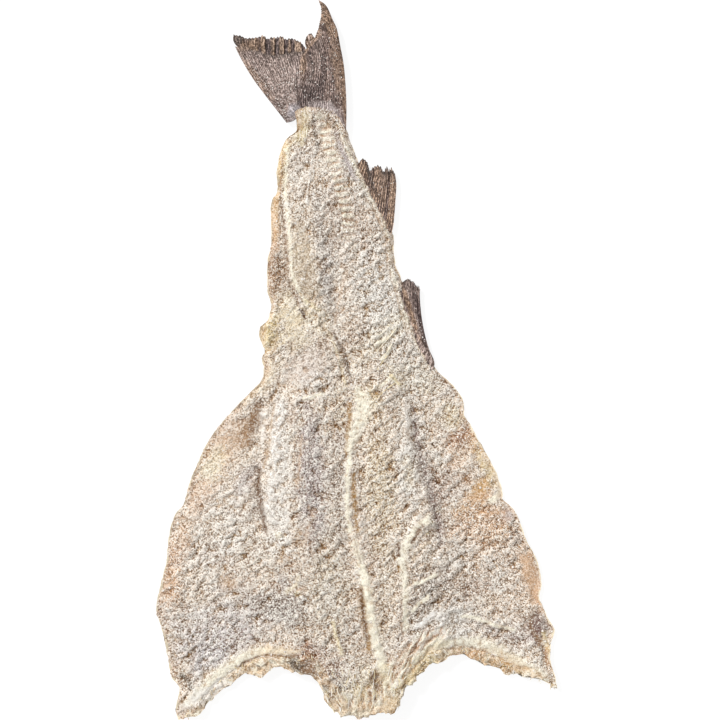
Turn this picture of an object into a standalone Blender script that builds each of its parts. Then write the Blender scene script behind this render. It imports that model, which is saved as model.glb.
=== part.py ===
"""A whole salted dried cod, split open and laid flat with its skin side down.

X runs across the fish, Y along it with the tail at +Y, and Z up. The underside
rests at Z = 0 and the origin is under the middle of the outline. Landmarks are in
millimetres and are turned into metres when the meshes are made.
"""
import math

import bmesh
import bpy
import numpy as np
from mathutils import Matrix, Vector, noise

MM = 0.001

# ---- Driving dimensions, in millimetres -------------------------------------------
LOIN_THICKNESS = 25.0       # thickest flesh, between the middle of the fish and its neck
FLAP_THICKNESS = 9.0        # belly flap beside the fillet
RIM_THICKNESS = 2.6         # dried rim of skin and flesh all the way round
RIM_ROUNDING = 9.0          # how far in from the outline the rim has reached full height
UNDER_ROUNDING = 7.0        # how far in from the outline the underside meets the table
ROWS = 74                   # cells along the fish
HALF_COLUMNS = 15           # cells from the seam to each side
CURVE_STEPS = 12            # points between two landmarks of a smooth curve

# ---- Outline landmarks, (x, y) from the tail to the neck ---------------------------
# The seam is where the backbone was cut out, down the middle of the fish.
SEAM = [(-33, 217), (-29, 196), (-24, 178), (-18, 154), (-13, 130), (-13, 102), (-18, 76),
        (-20, 55), (-17, 36), (-10, 8), (-6, -8), (-4, -26), (-5, -68), (-8, -110), (-7, -132),
        (0, -149), (6, -177), (11, -204), (15, -227), (18, -251), (19, -272), (12, -301)]
LEFT_EDGE = [(-53, 211), (-51, 196), (-57, 191), (-62, 185), (-66, 175), (-68, 162), (-68, 144),
             (-73, 133), (-73, 114), (-73, 99), (-76, 85), (-76, 60), (-73, 47), (-76, 34),
             (-81, 29), (-83, 21), (-80, 12), (-77, 8), (-81, 2), (-79, -6), (-80, -14),
             (-83, -20), (-92, -29), (-100, -37), (-112, -50), (-124, -65), (-131, -78),
             (-137, -91), (-143, -106), (-147, -122), (-154, -131), (-158, -141), (-161, -158),
             (-162, -172), (-166, -188), (-169, -201), (-171, -213), (-167, -225), (-163, -241),
             (-160, -260), (-158, -270), (-152, -277), (-151, -283), (-153, -291), (-154, -298),
             (-152, -305)]
RIGHT_EDGE = [(-20, 213), (-13, 204), (-9, 196), (-6, 186), (-2, 176), (2, 166), (11, 147),
              (21, 127), (27, 115), (31, 104), (31, 92), (33, 79), (37, 71), (40, 59), (41, 48),
              (47, 34), (54, 10), (66, -6), (71, -12), (80, -20), (90, -34), (91, -47), (96, -54),
              (103, -68), (109, -78), (116, -91), (121, -103), (124, -115), (124, -119),
              (129, -123), (135, -130), (140, -142), (144, -154), (150, -164), (155, -178),
              (157, -191), (155, -202), (159, -212), (163, -221), (168, -230), (165, -242),
              (164, -255), (168, -268), (170, -278)]
LEFT_TAIL_END = [(-33, 217), (-42, 216), (-53, 211)]
RIGHT_TAIL_END = [(-33, 217), (-26, 217), (-20, 213)]
# The collar is where the head was cut off: the neck in the middle, an arch on each side.
LEFT_COLLAR = [(12, -301), (5, -304), (-6, -302), (-15, -299), (-21, -296), (-26, -287), (-31, -275),
               (-36, -270), (-43, -266), (-54, -264), (-63, -261), (-69, -260), (-76, -265),
               (-82, -270), (-89, -267), (-98, -267), (-106, -274), (-115, -281), (-123, -288),
               (-129, -294), (-135, -302), (-143, -303), (-152, -305)]
RIGHT_COLLAR = [(12, -301), (21, -297), (30, -300), (35, -292), (41, -280), (49, -272),
                (56, -263), (62, -257), (71, -257), (81, -251), (91, -251), (101, -255),
                (108, -260), (119, -262), (128, -268), (142, -268), (153, -271), (163, -276),
                (170, -279)]

# ---- Thickness, as shares of the loin's, against the distance from tail (0) to neck (1)
LENGTHWISE = [(0.0, 0.34), (0.06, 0.46), (0.2, 0.50), (0.38, 0.56), (0.5, 0.72), (0.62, 0.92),
              (0.8, 1.0), (0.93, 0.94), (1.0, 0.7)]
# Thickness across, against the distance from the seam (0) to the side (1).
TAIL_CROSSWISE = [(0.0, 0.92), (0.3, 1.0), (0.7, 0.9), (1.0, 0.62)]
BODY_CROSSWISE = [(0.0, 0.86), (0.12, 0.97), (0.28, 1.0), (0.42, 0.88), (0.56, 0.46),
                  (0.8, 0.33), (1.0, 0.25)]
FLARE = (0.36, 0.52)        # where the narrow tail opens out into the belly flaps

# ---- Relief on the flesh: (path, height, half width) --------------------------------
SEAM_GUTTER = ([(-12, 90), (-19, 55), (-16, 34), (-9, 4), (-5, -18)], -2.6, 5.0)
SEAM_RIDGE = ([(-1, -28), (-4, -62), (-7, -110), (-6, -132), (1, -149), (6, -177), (11, -204),
               (15, -227), (18, -251), (19, -272)], 3.2, 4.5)
VERTEBRA_BED = ([(-27, 194), (-20, 165), (-13, 130), (-11, 104)], 1.8, 8.0)
RIGHT_NERVE = ([(63, -130), (47, -147), (38, -166), (39, -190), (43, -222)], 2.6, 5.0)
LEFT_SLIT = ([(-62, 168), (-63, 118), (-61, 75), (-52, 50), (-43, 35)], -3.4, 4.5)
LEFT_COLLAR_BAND = ([(-41, -247), (-57, -245), (-75, -246), (-92, -251), (-109, -260),
                     (-122, -270), (-134, -281), (-146, -292)], 2.4, 5.0)
RIGHT_COLLAR_BAND = ([(62, -238), (76, -236), (91, -236), (114, -242), (139, -254),
                      (160, -266), (168, -274)], 2.4, 5.0)
RELIEF = (SEAM_GUTTER, SEAM_RIDGE, VERTEBRA_BED, RIGHT_NERVE, LEFT_SLIT, LEFT_COLLAR_BAND,
          RIGHT_COLLAR_BAND)
# The fillets end in a step down to the flaps: (path, height, width, which way in X the seam is)
LEFT_STEP = ([(-70, -34), (-73, -56), (-76, -82), (-80, -101), (-78, -124), (-77, -147)],
             4.0, 9.0, 1)
RIGHT_STEP = ([(42, -50), (52, -90), (62, -122), (65, -152), (62, -172)], 4.0, 9.0, -1)
STEPS = (LEFT_STEP, RIGHT_STEP)
STEP_EDGE = 2.0             # how fast a step drops, measured from its path
CRUST_HEIGHT = 0.7          # unevenness of the salted surface
CRUST_LENGTH = 21.0

# ---- How far the dried edges curl up off the table: (x, y, height, radius) -----------
CURLS = [(-168, -205, 5.0, 75), (-152, -300, 6.0, 45), (168, -270, 6.0, 50),
         (150, -150, 5.0, 60), (-40, 240, 2.0, 40)]


# ---- Curves and patches -------------------------------------------------------------
def smooth_curve(landmarks, count):
    """count points, evenly spread along a Catmull-Rom curve through the landmarks."""
    p = np.array(landmarks, float)
    p = np.vstack([2 * p[0] - p[1], p, 2 * p[-1] - p[-2]])
    t = np.linspace(0, 1, CURVE_STEPS, endpoint=False)[:, None]
    spans = [0.5 * (2 * b + (c - a) * t + (2 * a - 5 * b + 4 * c - d) * t ** 2
                    + (3 * b - a - 3 * c + d) * t ** 3)
             for a, b, c, d in zip(p, p[1:], p[2:], p[3:])]
    fine = np.vstack(spans + [p[-2:-1]])
    run = np.append(0, np.cumsum(np.linalg.norm(np.diff(fine, axis=0), axis=1)))
    at = np.linspace(0, run[-1], count)
    return np.stack([np.interp(at, run, fine[:, k]) for k in range(2)], axis=1)


def patch(start, end, first, last):
    """Coons patch: rows run from start to end, columns from the line first to the line last."""
    v = np.linspace(0, 1, len(first))[:, None, None]
    u = np.linspace(0, 1, len(start))[None, :, None]
    between_sides = (1 - u) * first[:, None] + u * last[:, None]
    between_ends = (1 - v) * start[None] + v * end[None]
    corners = ((1 - v) * ((1 - u) * start[0] + u * start[-1])
               + v * ((1 - u) * end[0] + u * end[-1]))
    return between_sides + between_ends - corners


def smoothstep(low, high, value):
    t = np.clip((value - low) / (high - low), 0, 1)
    return t * t * (3 - 2 * t)


def nearest_on(path, points):
    """Distance to the path, the share of its length there, and 1 or -1 for the point's side.

    The side is 1 at +X of a path that runs from the tail to the neck.
    """
    line = smooth_curve(path, 40)
    a, d = line[:-1], np.diff(line, axis=0)
    rel = points[:, None] - a[None]
    t = np.clip((rel * d).sum(2) / (d * d).sum(1), 0, 1)
    off = rel - t[..., None] * d
    far = np.linalg.norm(off, axis=2)
    k = far.argmin(1)
    row = np.arange(len(points))
    side = np.sign(d[k, 0] * off[row, k, 1] - d[k, 1] * off[row, k, 0])
    return far[row, k], (k + t[row, k]) / len(d), side


def faded_ends(share, fade=0.15):
    return smoothstep(0, fade, share) * smoothstep(0, fade, 1 - share)


# ---- The flesh's heights ------------------------------------------------------------
def curl_height(xy):
    """Height of the underside above the table, where the edges have curled up."""
    height = np.zeros(len(xy))
    for x, y, rise, radius in CURLS:
        away = np.hypot(xy[:, 0] - x, xy[:, 1] - y) / radius
        height += rise * smoothstep(0, 1, 1 - away)
    return height


def flesh_thickness(across, along):
    loin = LOIN_THICKNESS * np.interp(along, *zip(*LENGTHWISE))
    opened = smoothstep(*FLARE, along)
    share = (np.interp(across, *zip(*TAIL_CROSSWISE)) * (1 - opened)
             + np.interp(across, *zip(*BODY_CROSSWISE)) * opened)
    return np.maximum(loin * share, np.minimum(FLAP_THICKNESS * 0.6, loin))


def relief(xy):
    """Ridges, gutters, steps and the crust's unevenness, added to the thickness."""
    height = np.zeros(len(xy))
    for path, rise, half_width in RELIEF:
        away, share, _ = nearest_on(path, xy)
        height += rise * faded_ends(share) * np.exp(-(away / half_width) ** 2)
    for path, rise, width, seam_way in STEPS:
        away, share, side = nearest_on(path, xy)
        beside = np.exp(-(away / width) ** 2) * smoothstep(0, STEP_EDGE, away)
        height += 0.5 * rise * faded_ends(share) * seam_way * side * beside
    crust = [noise.noise(Vector((x / CRUST_LENGTH, y / CRUST_LENGTH, 0.0))) for x, y in xy]
    return height + CRUST_HEIGHT * np.array(crust)


# ---- Meshes -------------------------------------------------------------------------
def shell(name, top, bottom):
    """Closed mesh between two grids of points, (rows, columns, 3), in millimetres."""
    rows, columns = top.shape[:2]
    bm = bmesh.new()
    upper = [[bm.verts.new(p) for p in row] for row in top * MM]
    lower = [[bm.verts.new(p) for p in row] for row in bottom * MM]
    for i in range(rows - 1):
        for j in range(columns - 1):
            bm.faces.new((upper[i][j], upper[i + 1][j], upper[i + 1][j + 1], upper[i][j + 1]))
            bm.faces.new((lower[i][j], lower[i][j + 1], lower[i + 1][j + 1], lower[i + 1][j]))
    rim = ([(i, 0) for i in range(rows)] + [(rows - 1, j) for j in range(1, columns)]
           + [(i, columns - 1) for i in range(rows - 2, -1, -1)]
           + [(0, j) for j in range(columns - 2, 0, -1)])
    for (i, j), (k, m) in zip(rim, rim[1:] + rim[:1]):
        bm.faces.new((upper[i][j], lower[i][j], lower[k][m], upper[k][m]))
    bmesh.ops.recalc_face_normals(bm, faces=bm.faces)
    mesh = bpy.data.meshes.new(name)
    bm.to_mesh(mesh)
    bm.free()
    return mesh


def flatten_underside(mesh):
    """The flat middle of the underside becomes one face."""
    bm = bmesh.new()
    bm.from_mesh(mesh)
    low = [f for f in bm.faces if f.normal.z < -0.5 and max(v.co.z for v in f.verts) < 1e-6]
    bmesh.ops.dissolve_faces(bm, faces=low)
    bm.to_mesh(mesh)
    bm.free()


def new_object(name, mesh, material):
    obj = bpy.data.objects.new(name, mesh)
    bpy.context.scene.collection.objects.link(obj)
    mesh.materials.append(material)
    mesh.shade_smooth()
    mesh.set_sharp_from_angle(angle=math.radians(40))
    return obj


def new_material(name, colour, roughness):
    material = bpy.data.materials.new(name)
    material.use_nodes = True
    shader = material.node_tree.nodes["Principled BSDF"]
    shader.inputs["Base Color"].default_value = (*colour, 1)
    shader.inputs["Roughness"].default_value = roughness
    shader.inputs["Metallic"].default_value = 0.0
    return material


# ---- The fish -----------------------------------------------------------------------
def flesh_grid():
    """XY of the flesh from side to side, with each point's place across and along."""
    seam = smooth_curve(SEAM, ROWS + 1)
    halves = []
    for tail_end, collar, edge in ((LEFT_TAIL_END, LEFT_COLLAR, LEFT_EDGE),
                                   (RIGHT_TAIL_END, RIGHT_COLLAR, RIGHT_EDGE)):
        halves.append(patch(smooth_curve(tail_end, HALF_COLUMNS + 1),
                            smooth_curve(collar, HALF_COLUMNS + 1),
                            seam, smooth_curve(edge, ROWS + 1)))
    xy = np.concatenate([halves[0][:, ::-1], halves[1][:, 1:]], axis=1)
    across = np.abs(np.linspace(-1, 1, 2 * HALF_COLUMNS + 1))[None].repeat(ROWS + 1, 0)
    along = np.linspace(0, 1, ROWS + 1)[:, None].repeat(2 * HALF_COLUMNS + 1, 1)
    return xy, across, along


def outline_of(xy):
    return np.concatenate([xy[:, 0], xy[-1, 1:], xy[-2::-1, -1], xy[0, -2:0:-1]])


def make_flesh(material):
    xy, across, along = flesh_grid()
    shape = across.shape
    flat = xy.reshape(-1, 2)
    outline = outline_of(xy)
    inset = np.linalg.norm(flat[:, None] - outline[None], axis=2).min(1)
    body = flesh_thickness(across.ravel(), along.ravel()) + relief(flat)
    rounding = np.sqrt(1 - (1 - np.clip(inset / RIM_ROUNDING, 0, 1)) ** 2)
    curl = curl_height(flat)
    under = curl + 1.2 * (1 - smoothstep(0, UNDER_ROUNDING, inset))
    over = curl + RIM_THICKNESS + 1.2 + (body - RIM_THICKNESS - 1.2) * rounding
    top = np.column_stack([flat, over]).reshape(*shape, 3)
    bottom = np.column_stack([flat, under]).reshape(*shape, 3)
    mesh = shell("salted_cod", top, bottom)
    flatten_underside(mesh)
    return new_object("salted_cod", mesh, material)


def make_fin(name, base, tips, first_ray, last_ray, rays, z_range, thick, pleat, material):
    """A fin fanned from its base to its ragged tips, pleated along its rays."""
    steps = 8
    xy = patch(smooth_curve(base, rays + 1), smooth_curve(tips, rays + 1),
               smooth_curve(first_ray, steps + 1), smooth_curve(last_ray, steps + 1))
    out = np.linspace(0, 1, steps + 1)[:, None]
    middle = z_range[0] + (z_range[1] - z_range[0]) * out ** 1.5
    fold = pleat * out * np.cos(math.pi * np.arange(rays + 1))[None]
    half = 0.5 * (thick[0] + (thick[1] - thick[0]) * out) * np.ones((1, rays + 1))
    top = np.dstack([xy, middle + fold + half])
    bottom = np.dstack([xy, middle + fold - half])
    fin = new_object(name, shell(name, top, bottom), material)
    fin.hide_render = True
    fin.display_type = "WIRE"
    return fin


def make_fins(material):
    """Tail fin in two lobes, and the two fins that stick out from under the right side."""
    return [
        make_fin("left_tail_lobe",
                 [(-59, 203), (-51, 203), (-43, 208), (-38, 218)],
                 [(-106, 275), (-103, 278), (-98, 276), (-91, 273), (-83, 275), (-73, 274),
                  (-63, 276), (-55, 274), (-48, 270), (-42, 277), (-37, 275)],
                 [(-59, 203), (-76, 226), (-88, 241), (-97, 256), (-104, 268), (-106, 275)],
                 [(-38, 218), (-41, 240), (-41, 260), (-37, 275)],
                 26, (5.0, 6.5), (6.4, 1.8), 0.35, material),
        make_fin("right_tail_lobe",
                 [(-45, 212), (-36, 210), (-28, 208), (-18, 200), (-10, 188)],
                 [(-46, 256), (-42, 265), (-36, 274), (-32, 282), (-30, 291), (-31, 298),
                  (-33, 306)],
                 [(-45, 212), (-47, 230), (-46, 256)],
                 [(-10, 188), (-9, 203), (-9, 227), (-11, 245), (-14, 265), (-18, 283),
                  (-24, 297), (-33, 306)],
                 22, (6.0, 7.5), (7.0, 1.8), 0.35, material),
        make_fin("upper_dorsal_fin",
                 [(-3, 160), (4, 142), (14, 122), (22, 102)],
                 [(1, 169), (6, 171), (10, 167), (12, 161), (16, 165), (21, 166), (24, 161),
                  (28, 165), (33, 160)],
                 [(-3, 160), (-1, 165), (1, 169)],
                 [(22, 102), (31, 107), (31, 120), (33, 136), (34, 150), (33, 160)],
                 18, (4.2, 4.8), (4.4, 1.5), 0.25, material),
        make_fin("lower_dorsal_fin",
                 [(32, 62), (34, 46), (41, 30), (48, 6), (60, -14)],
                 [(37, 71), (42, 69), (46, 69), (50, 67), (53, 64), (54, 60)],
                 [(32, 62), (34, 67), (37, 71)],
                 [(60, -14), (67, -5), (63, 12), (58, 31), (55, 47), (54, 60)],
                 14, (4.0, 4.6), (4.4, 1.6), 0.25, material),
    ]


def grow_together(body, fins):
    """The fins are one piece with the body."""
    for fin in fins:
        join = body.modifiers.new("Join " + fin.name, "BOOLEAN")
        join.operation = "UNION"
        join.solver = "EXACT"
        join.object = fin


def centre_on_origin(objects):
    """Puts the middle of the whole outline over the origin, without moving anything in Z."""
    corners = np.array([v.co for obj in objects for v in obj.data.vertices])
    middle = (corners.min(0) + corners.max(0)) / 2
    for obj in objects:
        obj.data.transform(Matrix.Translation((-middle[0], -middle[1], 0)))


def main():
    for obj in list(bpy.data.objects):
        bpy.data.objects.remove(obj)
    flesh = new_material("salted_flesh", (0.60, 0.50, 0.39), 0.8)
    fin_skin = new_material("dried_fin", (0.30, 0.23, 0.19), 0.65)
    cod = make_flesh(flesh)
    fins = make_fins(fin_skin)
    grow_together(cod, fins)
    centre_on_origin([cod, *fins])


main()
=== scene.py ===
"""A whole split, salted and dried cod, laid flat with its flesh up.

Run as a script, it builds the fish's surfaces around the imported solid, which gives the
heights and the place of everything. Landmarks and sizes are in millimetres; meshes are in
metres.
"""

import math

import bmesh
import bpy
import numpy as np
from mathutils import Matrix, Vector
from mathutils.bvhtree import BVHTree


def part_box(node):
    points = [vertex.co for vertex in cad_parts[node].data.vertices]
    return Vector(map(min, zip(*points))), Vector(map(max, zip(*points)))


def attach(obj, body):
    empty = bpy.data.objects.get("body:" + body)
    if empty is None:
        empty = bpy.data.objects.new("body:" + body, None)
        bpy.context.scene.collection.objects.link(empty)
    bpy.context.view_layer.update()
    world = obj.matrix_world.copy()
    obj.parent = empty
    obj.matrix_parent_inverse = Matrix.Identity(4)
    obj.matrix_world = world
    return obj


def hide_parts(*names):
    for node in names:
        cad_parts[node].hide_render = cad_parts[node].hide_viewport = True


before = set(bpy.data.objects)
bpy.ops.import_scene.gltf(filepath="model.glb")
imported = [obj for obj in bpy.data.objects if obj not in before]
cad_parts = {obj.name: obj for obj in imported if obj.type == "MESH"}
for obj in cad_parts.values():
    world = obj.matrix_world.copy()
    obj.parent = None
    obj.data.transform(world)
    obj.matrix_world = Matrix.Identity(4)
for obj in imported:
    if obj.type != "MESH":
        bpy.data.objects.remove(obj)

bl_info = {
    "name": "Salted Dried Cod",
    "version": (1, 0, 0),
    "blender": (4, 5, 0),
    "location": "View3D > Sidebar > Salted Cod",
    "description": "A split, salted and dried cod: flesh, skin, fins, cartilage, fibres and salt",
    "category": "Add Mesh",
}

MM = 0.001
NODE = "salted_cod"

# ---- The fish's outline, (x, y) from the tail to the neck, as the solid has it ---------
SEAM = [(-33, 217), (-29, 196), (-24, 178), (-18, 154), (-13, 130), (-13, 102), (-18, 76),
        (-20, 55), (-17, 36), (-10, 8), (-6, -8), (-4, -26), (-5, -68), (-8, -110), (-7, -132),
        (0, -149), (6, -177), (11, -204), (15, -227), (18, -251), (19, -272), (12, -301)]
LEFT_EDGE = [(-53, 211), (-51, 196), (-57, 191), (-62, 185), (-66, 175), (-68, 162), (-68, 144),
             (-73, 133), (-73, 114), (-73, 99), (-76, 85), (-76, 60), (-73, 47), (-76, 34),
             (-81, 29), (-83, 21), (-80, 12), (-77, 8), (-81, 2), (-79, -6), (-80, -14),
             (-83, -20), (-92, -29), (-100, -37), (-112, -50), (-124, -65), (-131, -78),
             (-137, -91), (-143, -106), (-147, -122), (-154, -131), (-158, -141), (-161, -158),
             (-162, -172), (-166, -188), (-169, -201), (-171, -213), (-167, -225), (-163, -241),
             (-160, -260), (-158, -270), (-152, -277), (-151, -283), (-153, -291), (-154, -298),
             (-152, -305)]
RIGHT_EDGE = [(-20, 213), (-13, 204), (-9, 196), (-6, 186), (-2, 176), (2, 166), (11, 147),
              (21, 127), (27, 115), (31, 104), (31, 92), (33, 79), (37, 71), (40, 59), (41, 48),
              (47, 34), (54, 10), (66, -6), (71, -12), (80, -20), (90, -34), (91, -47), (96, -54),
              (103, -68), (109, -78), (116, -91), (121, -103), (124, -115), (124, -119),
              (129, -123), (135, -130), (140, -142), (144, -154), (150, -164), (155, -178),
              (157, -191), (155, -202), (159, -212), (163, -221), (168, -230), (165, -242),
              (164, -255), (168, -268), (170, -278)]
LEFT_TAIL_END = [(-33, 217), (-42, 216), (-53, 211)]
RIGHT_TAIL_END = [(-33, 217), (-26, 217), (-20, 213)]
LEFT_COLLAR = [(12, -301), (5, -304), (-6, -302), (-15, -299), (-21, -296), (-26, -287),
               (-31, -275), (-36, -270), (-43, -266), (-54, -264), (-63, -261), (-69, -260),
               (-76, -265), (-82, -270), (-89, -267), (-98, -267), (-106, -274), (-115, -281),
               (-123, -288), (-129, -294), (-135, -302), (-143, -303), (-152, -305)]
RIGHT_COLLAR = [(12, -301), (21, -297), (30, -300), (35, -292), (41, -280), (49, -272),
                (56, -263), (62, -257), (71, -257), (81, -251), (91, -251), (101, -255),
                (108, -260), (119, -262), (128, -268), (142, -268), (153, -271), (163, -276),
                (170, -279)]
CURVE_STEPS = 12
COARSE_ROWS, COARSE_COLUMNS = 74, 15    # the solid's own grid, on which its heights are read
TABLE_SIZE = 4096    # random numbers behind each noise, a power of two
HASH_X, HASH_Y = 73856093, 19349663    # primes that mix a cell's x and y
SOLID_RAY_START, GROUND_RAY_START = 0.5, 0.1    # metres above (or below) the table
NEAREST_FROM = 0.003    # height in metres from which a ray that missed looks for the solid


# ---- Curves, patches and noise ---------------------------------------------------------
def smooth_curve(landmarks, count):
    """count points, evenly spread along a Catmull-Rom curve through the landmarks."""
    p = np.array(landmarks, float)
    p = np.vstack([2 * p[0] - p[1], p, 2 * p[-1] - p[-2]])
    t = np.linspace(0, 1, CURVE_STEPS, endpoint=False)[:, None]
    spans = [0.5 * (2 * b + (c - a) * t + (2 * a - 5 * b + 4 * c - d) * t ** 2
                    + (3 * b - a - 3 * c + d) * t ** 3)
             for a, b, c, d in zip(p, p[1:], p[2:], p[3:])]
    fine = np.vstack(spans + [p[-2:-1]])
    run = np.append(0, np.cumsum(np.linalg.norm(np.diff(fine, axis=0), axis=1)))
    at = np.linspace(0, run[-1], count)
    return np.stack([np.interp(at, run, fine[:, k]) for k in range(p.shape[1])], axis=1)


def patch(start, end, first, last):
    """Coons patch: rows run from start to end, columns from the line first to the line last."""
    v = np.linspace(0, 1, len(first))[:, None, None]
    u = np.linspace(0, 1, len(start))[None, :, None]
    between_sides = (1 - u) * first[:, None] + u * last[:, None]
    between_ends = (1 - v) * start[None] + v * end[None]
    corners = ((1 - v) * ((1 - u) * start[0] + u * start[-1])
               + v * ((1 - u) * end[0] + u * end[-1]))
    return between_sides + between_ends - corners


def smoothstep(low, high, value):
    t = np.clip((value - low) / (high - low), 0, 1)
    return t * t * (3 - 2 * t)


def upsample(values, rows, columns):
    """A coarse grid of values read smoothly at rows x columns evenly spread places."""
    def weights(count, places):
        at = np.linspace(0, count - 1, places)
        k = np.minimum(at.astype(int), count - 2)
        t = at - k
        w = np.zeros((places, count))
        row = np.arange(places)
        terms = (-0.5 * t + t ** 2 - 0.5 * t ** 3, 1 - 2.5 * t ** 2 + 1.5 * t ** 3,
                 0.5 * t + 2 * t ** 2 - 1.5 * t ** 3, -0.5 * t ** 2 + 0.5 * t ** 3)
        for offset, term in enumerate(terms):
            np.add.at(w, (row, np.clip(k + offset - 1, 0, count - 1)), term)
        return w
    return weights(values.shape[0], rows) @ values @ weights(values.shape[1], columns).T


def table_place(xi, yi):
    """A place in a table of random numbers for each whole x and y."""
    return (xi * HASH_X ^ yi * HASH_Y) & (TABLE_SIZE - 1)


def gradient_noise(x, y, seed, size=1):
    """Perlin's noise with waves that long, from about -1 to 1, the same on every run."""
    x, y = x / size, y / size
    turn = np.random.default_rng(seed).random(TABLE_SIZE) * 2 * math.pi
    gx, gy = np.cos(turn), np.sin(turn)
    xi, yi = np.floor(x).astype(np.int64), np.floor(y).astype(np.int64)
    fx, fy = x - xi, y - yi

    def corner(i, j):
        h = table_place(xi + i, yi + j)
        return gx[h] * (fx - i) + gy[h] * (fy - j)

    u, v = fx * fx * (3 - 2 * fx), fy * fy * (3 - 2 * fy)
    near = corner(0, 0) * (1 - u) + corner(1, 0) * u
    far = corner(0, 1) * (1 - u) + corner(1, 1) * u
    return 1.5 * (near * (1 - v) + far * v)


def turned(x, y, degrees, length, width):
    """Coordinates along and across a direction, as shares of a grain's length and width."""
    a = math.radians(degrees)
    return ((x * math.cos(a) + y * math.sin(a)) / length,
            (-x * math.sin(a) + y * math.cos(a)) / width)


class Path:
    """A smooth line on the fish, that heights and colours are measured from."""

    def __init__(self, landmarks, points=48):
        self.line = smooth_curve(landmarks, points)

    def measure(self, x, y, reach):
        """(places within reach, distance, side, share of the length) of the points there.

        The side is 1 at +X of a path that runs from the tail to the neck, and -1 beyond.
        """
        low, high = self.line.min(0) - reach, self.line.max(0) + reach
        near = np.nonzero((x > low[0]) & (x < high[0]) & (y > low[1]) & (y < high[1]))[0]
        a, d = self.line[:-1], np.diff(self.line, axis=0)
        away = np.full(len(near), 1e9)
        share, side = np.zeros(len(near)), np.ones(len(near))
        px, py = x[near], y[near]
        for k in range(len(d)):
            rx, ry = px - a[k, 0], py - a[k, 1]
            t = np.clip((rx * d[k, 0] + ry * d[k, 1]) / (d[k] @ d[k]), 0, 1)
            ox, oy = rx - t * d[k, 0], ry - t * d[k, 1]
            dist = np.hypot(ox, oy)
            closer = dist < away
            away[closer] = dist[closer]
            share[closer] = (k + t[closer]) / len(d)
            side[closer] = np.sign(d[k, 0] * oy[closer] - d[k, 1] * ox[closer])
        return near, away, side, share


def faded_ends(share, fade=0.12):
    return smoothstep(0, fade, share) * smoothstep(0, fade, 1 - share)


# ---- Colours ---------------------------------------------------------------------------
def linear(*srgb):
    """A colour given as 0 to 255 display values, in linear light."""
    c = np.array(srgb, float) / 255
    return np.where(c <= 0.04045, c / 12.92, ((c + 0.055) / 1.055) ** 2.4)


TINTS = {
    "white": linear(254, 250, 244),
    "ivory": linear(254, 247, 226),
    "butter": linear(242, 226, 186),
    "yolk": linear(238, 216, 162),
    "cream": linear(226, 206, 172),
    "beige": linear(206, 186, 156),
    "olive": linear(196, 180, 136),
    "peach": linear(228, 190, 156),
    "ledge": linear(244, 216, 180),
    "orange": linear(222, 170, 118),
    "pink": linear(214, 184, 168),
    "tan": linear(196, 160, 124),
    "brown": linear(146, 112, 82),
    "amber": linear(168, 128, 74),
    "umber": linear(112, 78, 46),
    "rust": linear(172, 126, 96),
    "gold": linear(216, 170, 108),
    "dark": linear(78, 58, 38),
    "mauve": linear(184, 170, 172),
    "taupe": linear(168, 152, 140),
    "pink brown": linear(160, 132, 124),
    "slate": linear(140, 138, 146),
    "plum": linear(128, 98, 88),
    "skin": linear(112, 98, 84),
    "belly": linear(176, 164, 146),
    "rind": linear(246, 232, 204),
    "fin pale": linear(176, 156, 146),
    "fin shade": linear(92, 70, 62),
    "fin tan": linear(160, 130, 104),
    "fin dark": linear(84, 66, 54),
    "fin brown": linear(116, 96, 90),
    "fin light": linear(188, 168, 158),
    "fin lilac": linear(144, 120, 109),
    "fin fold": linear(144, 118, 96),
    "fin hollow": linear(74, 52, 46),
    "film": linear(186, 174, 172),
    "frost": linear(232, 230, 238),
}


def blend(tone, other, share):
    """The tone taken towards another one, or towards a tint, by each point's share."""
    other = TINTS[other] if isinstance(other, str) else other
    return tone + share[..., None] * (other - tone)



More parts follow.
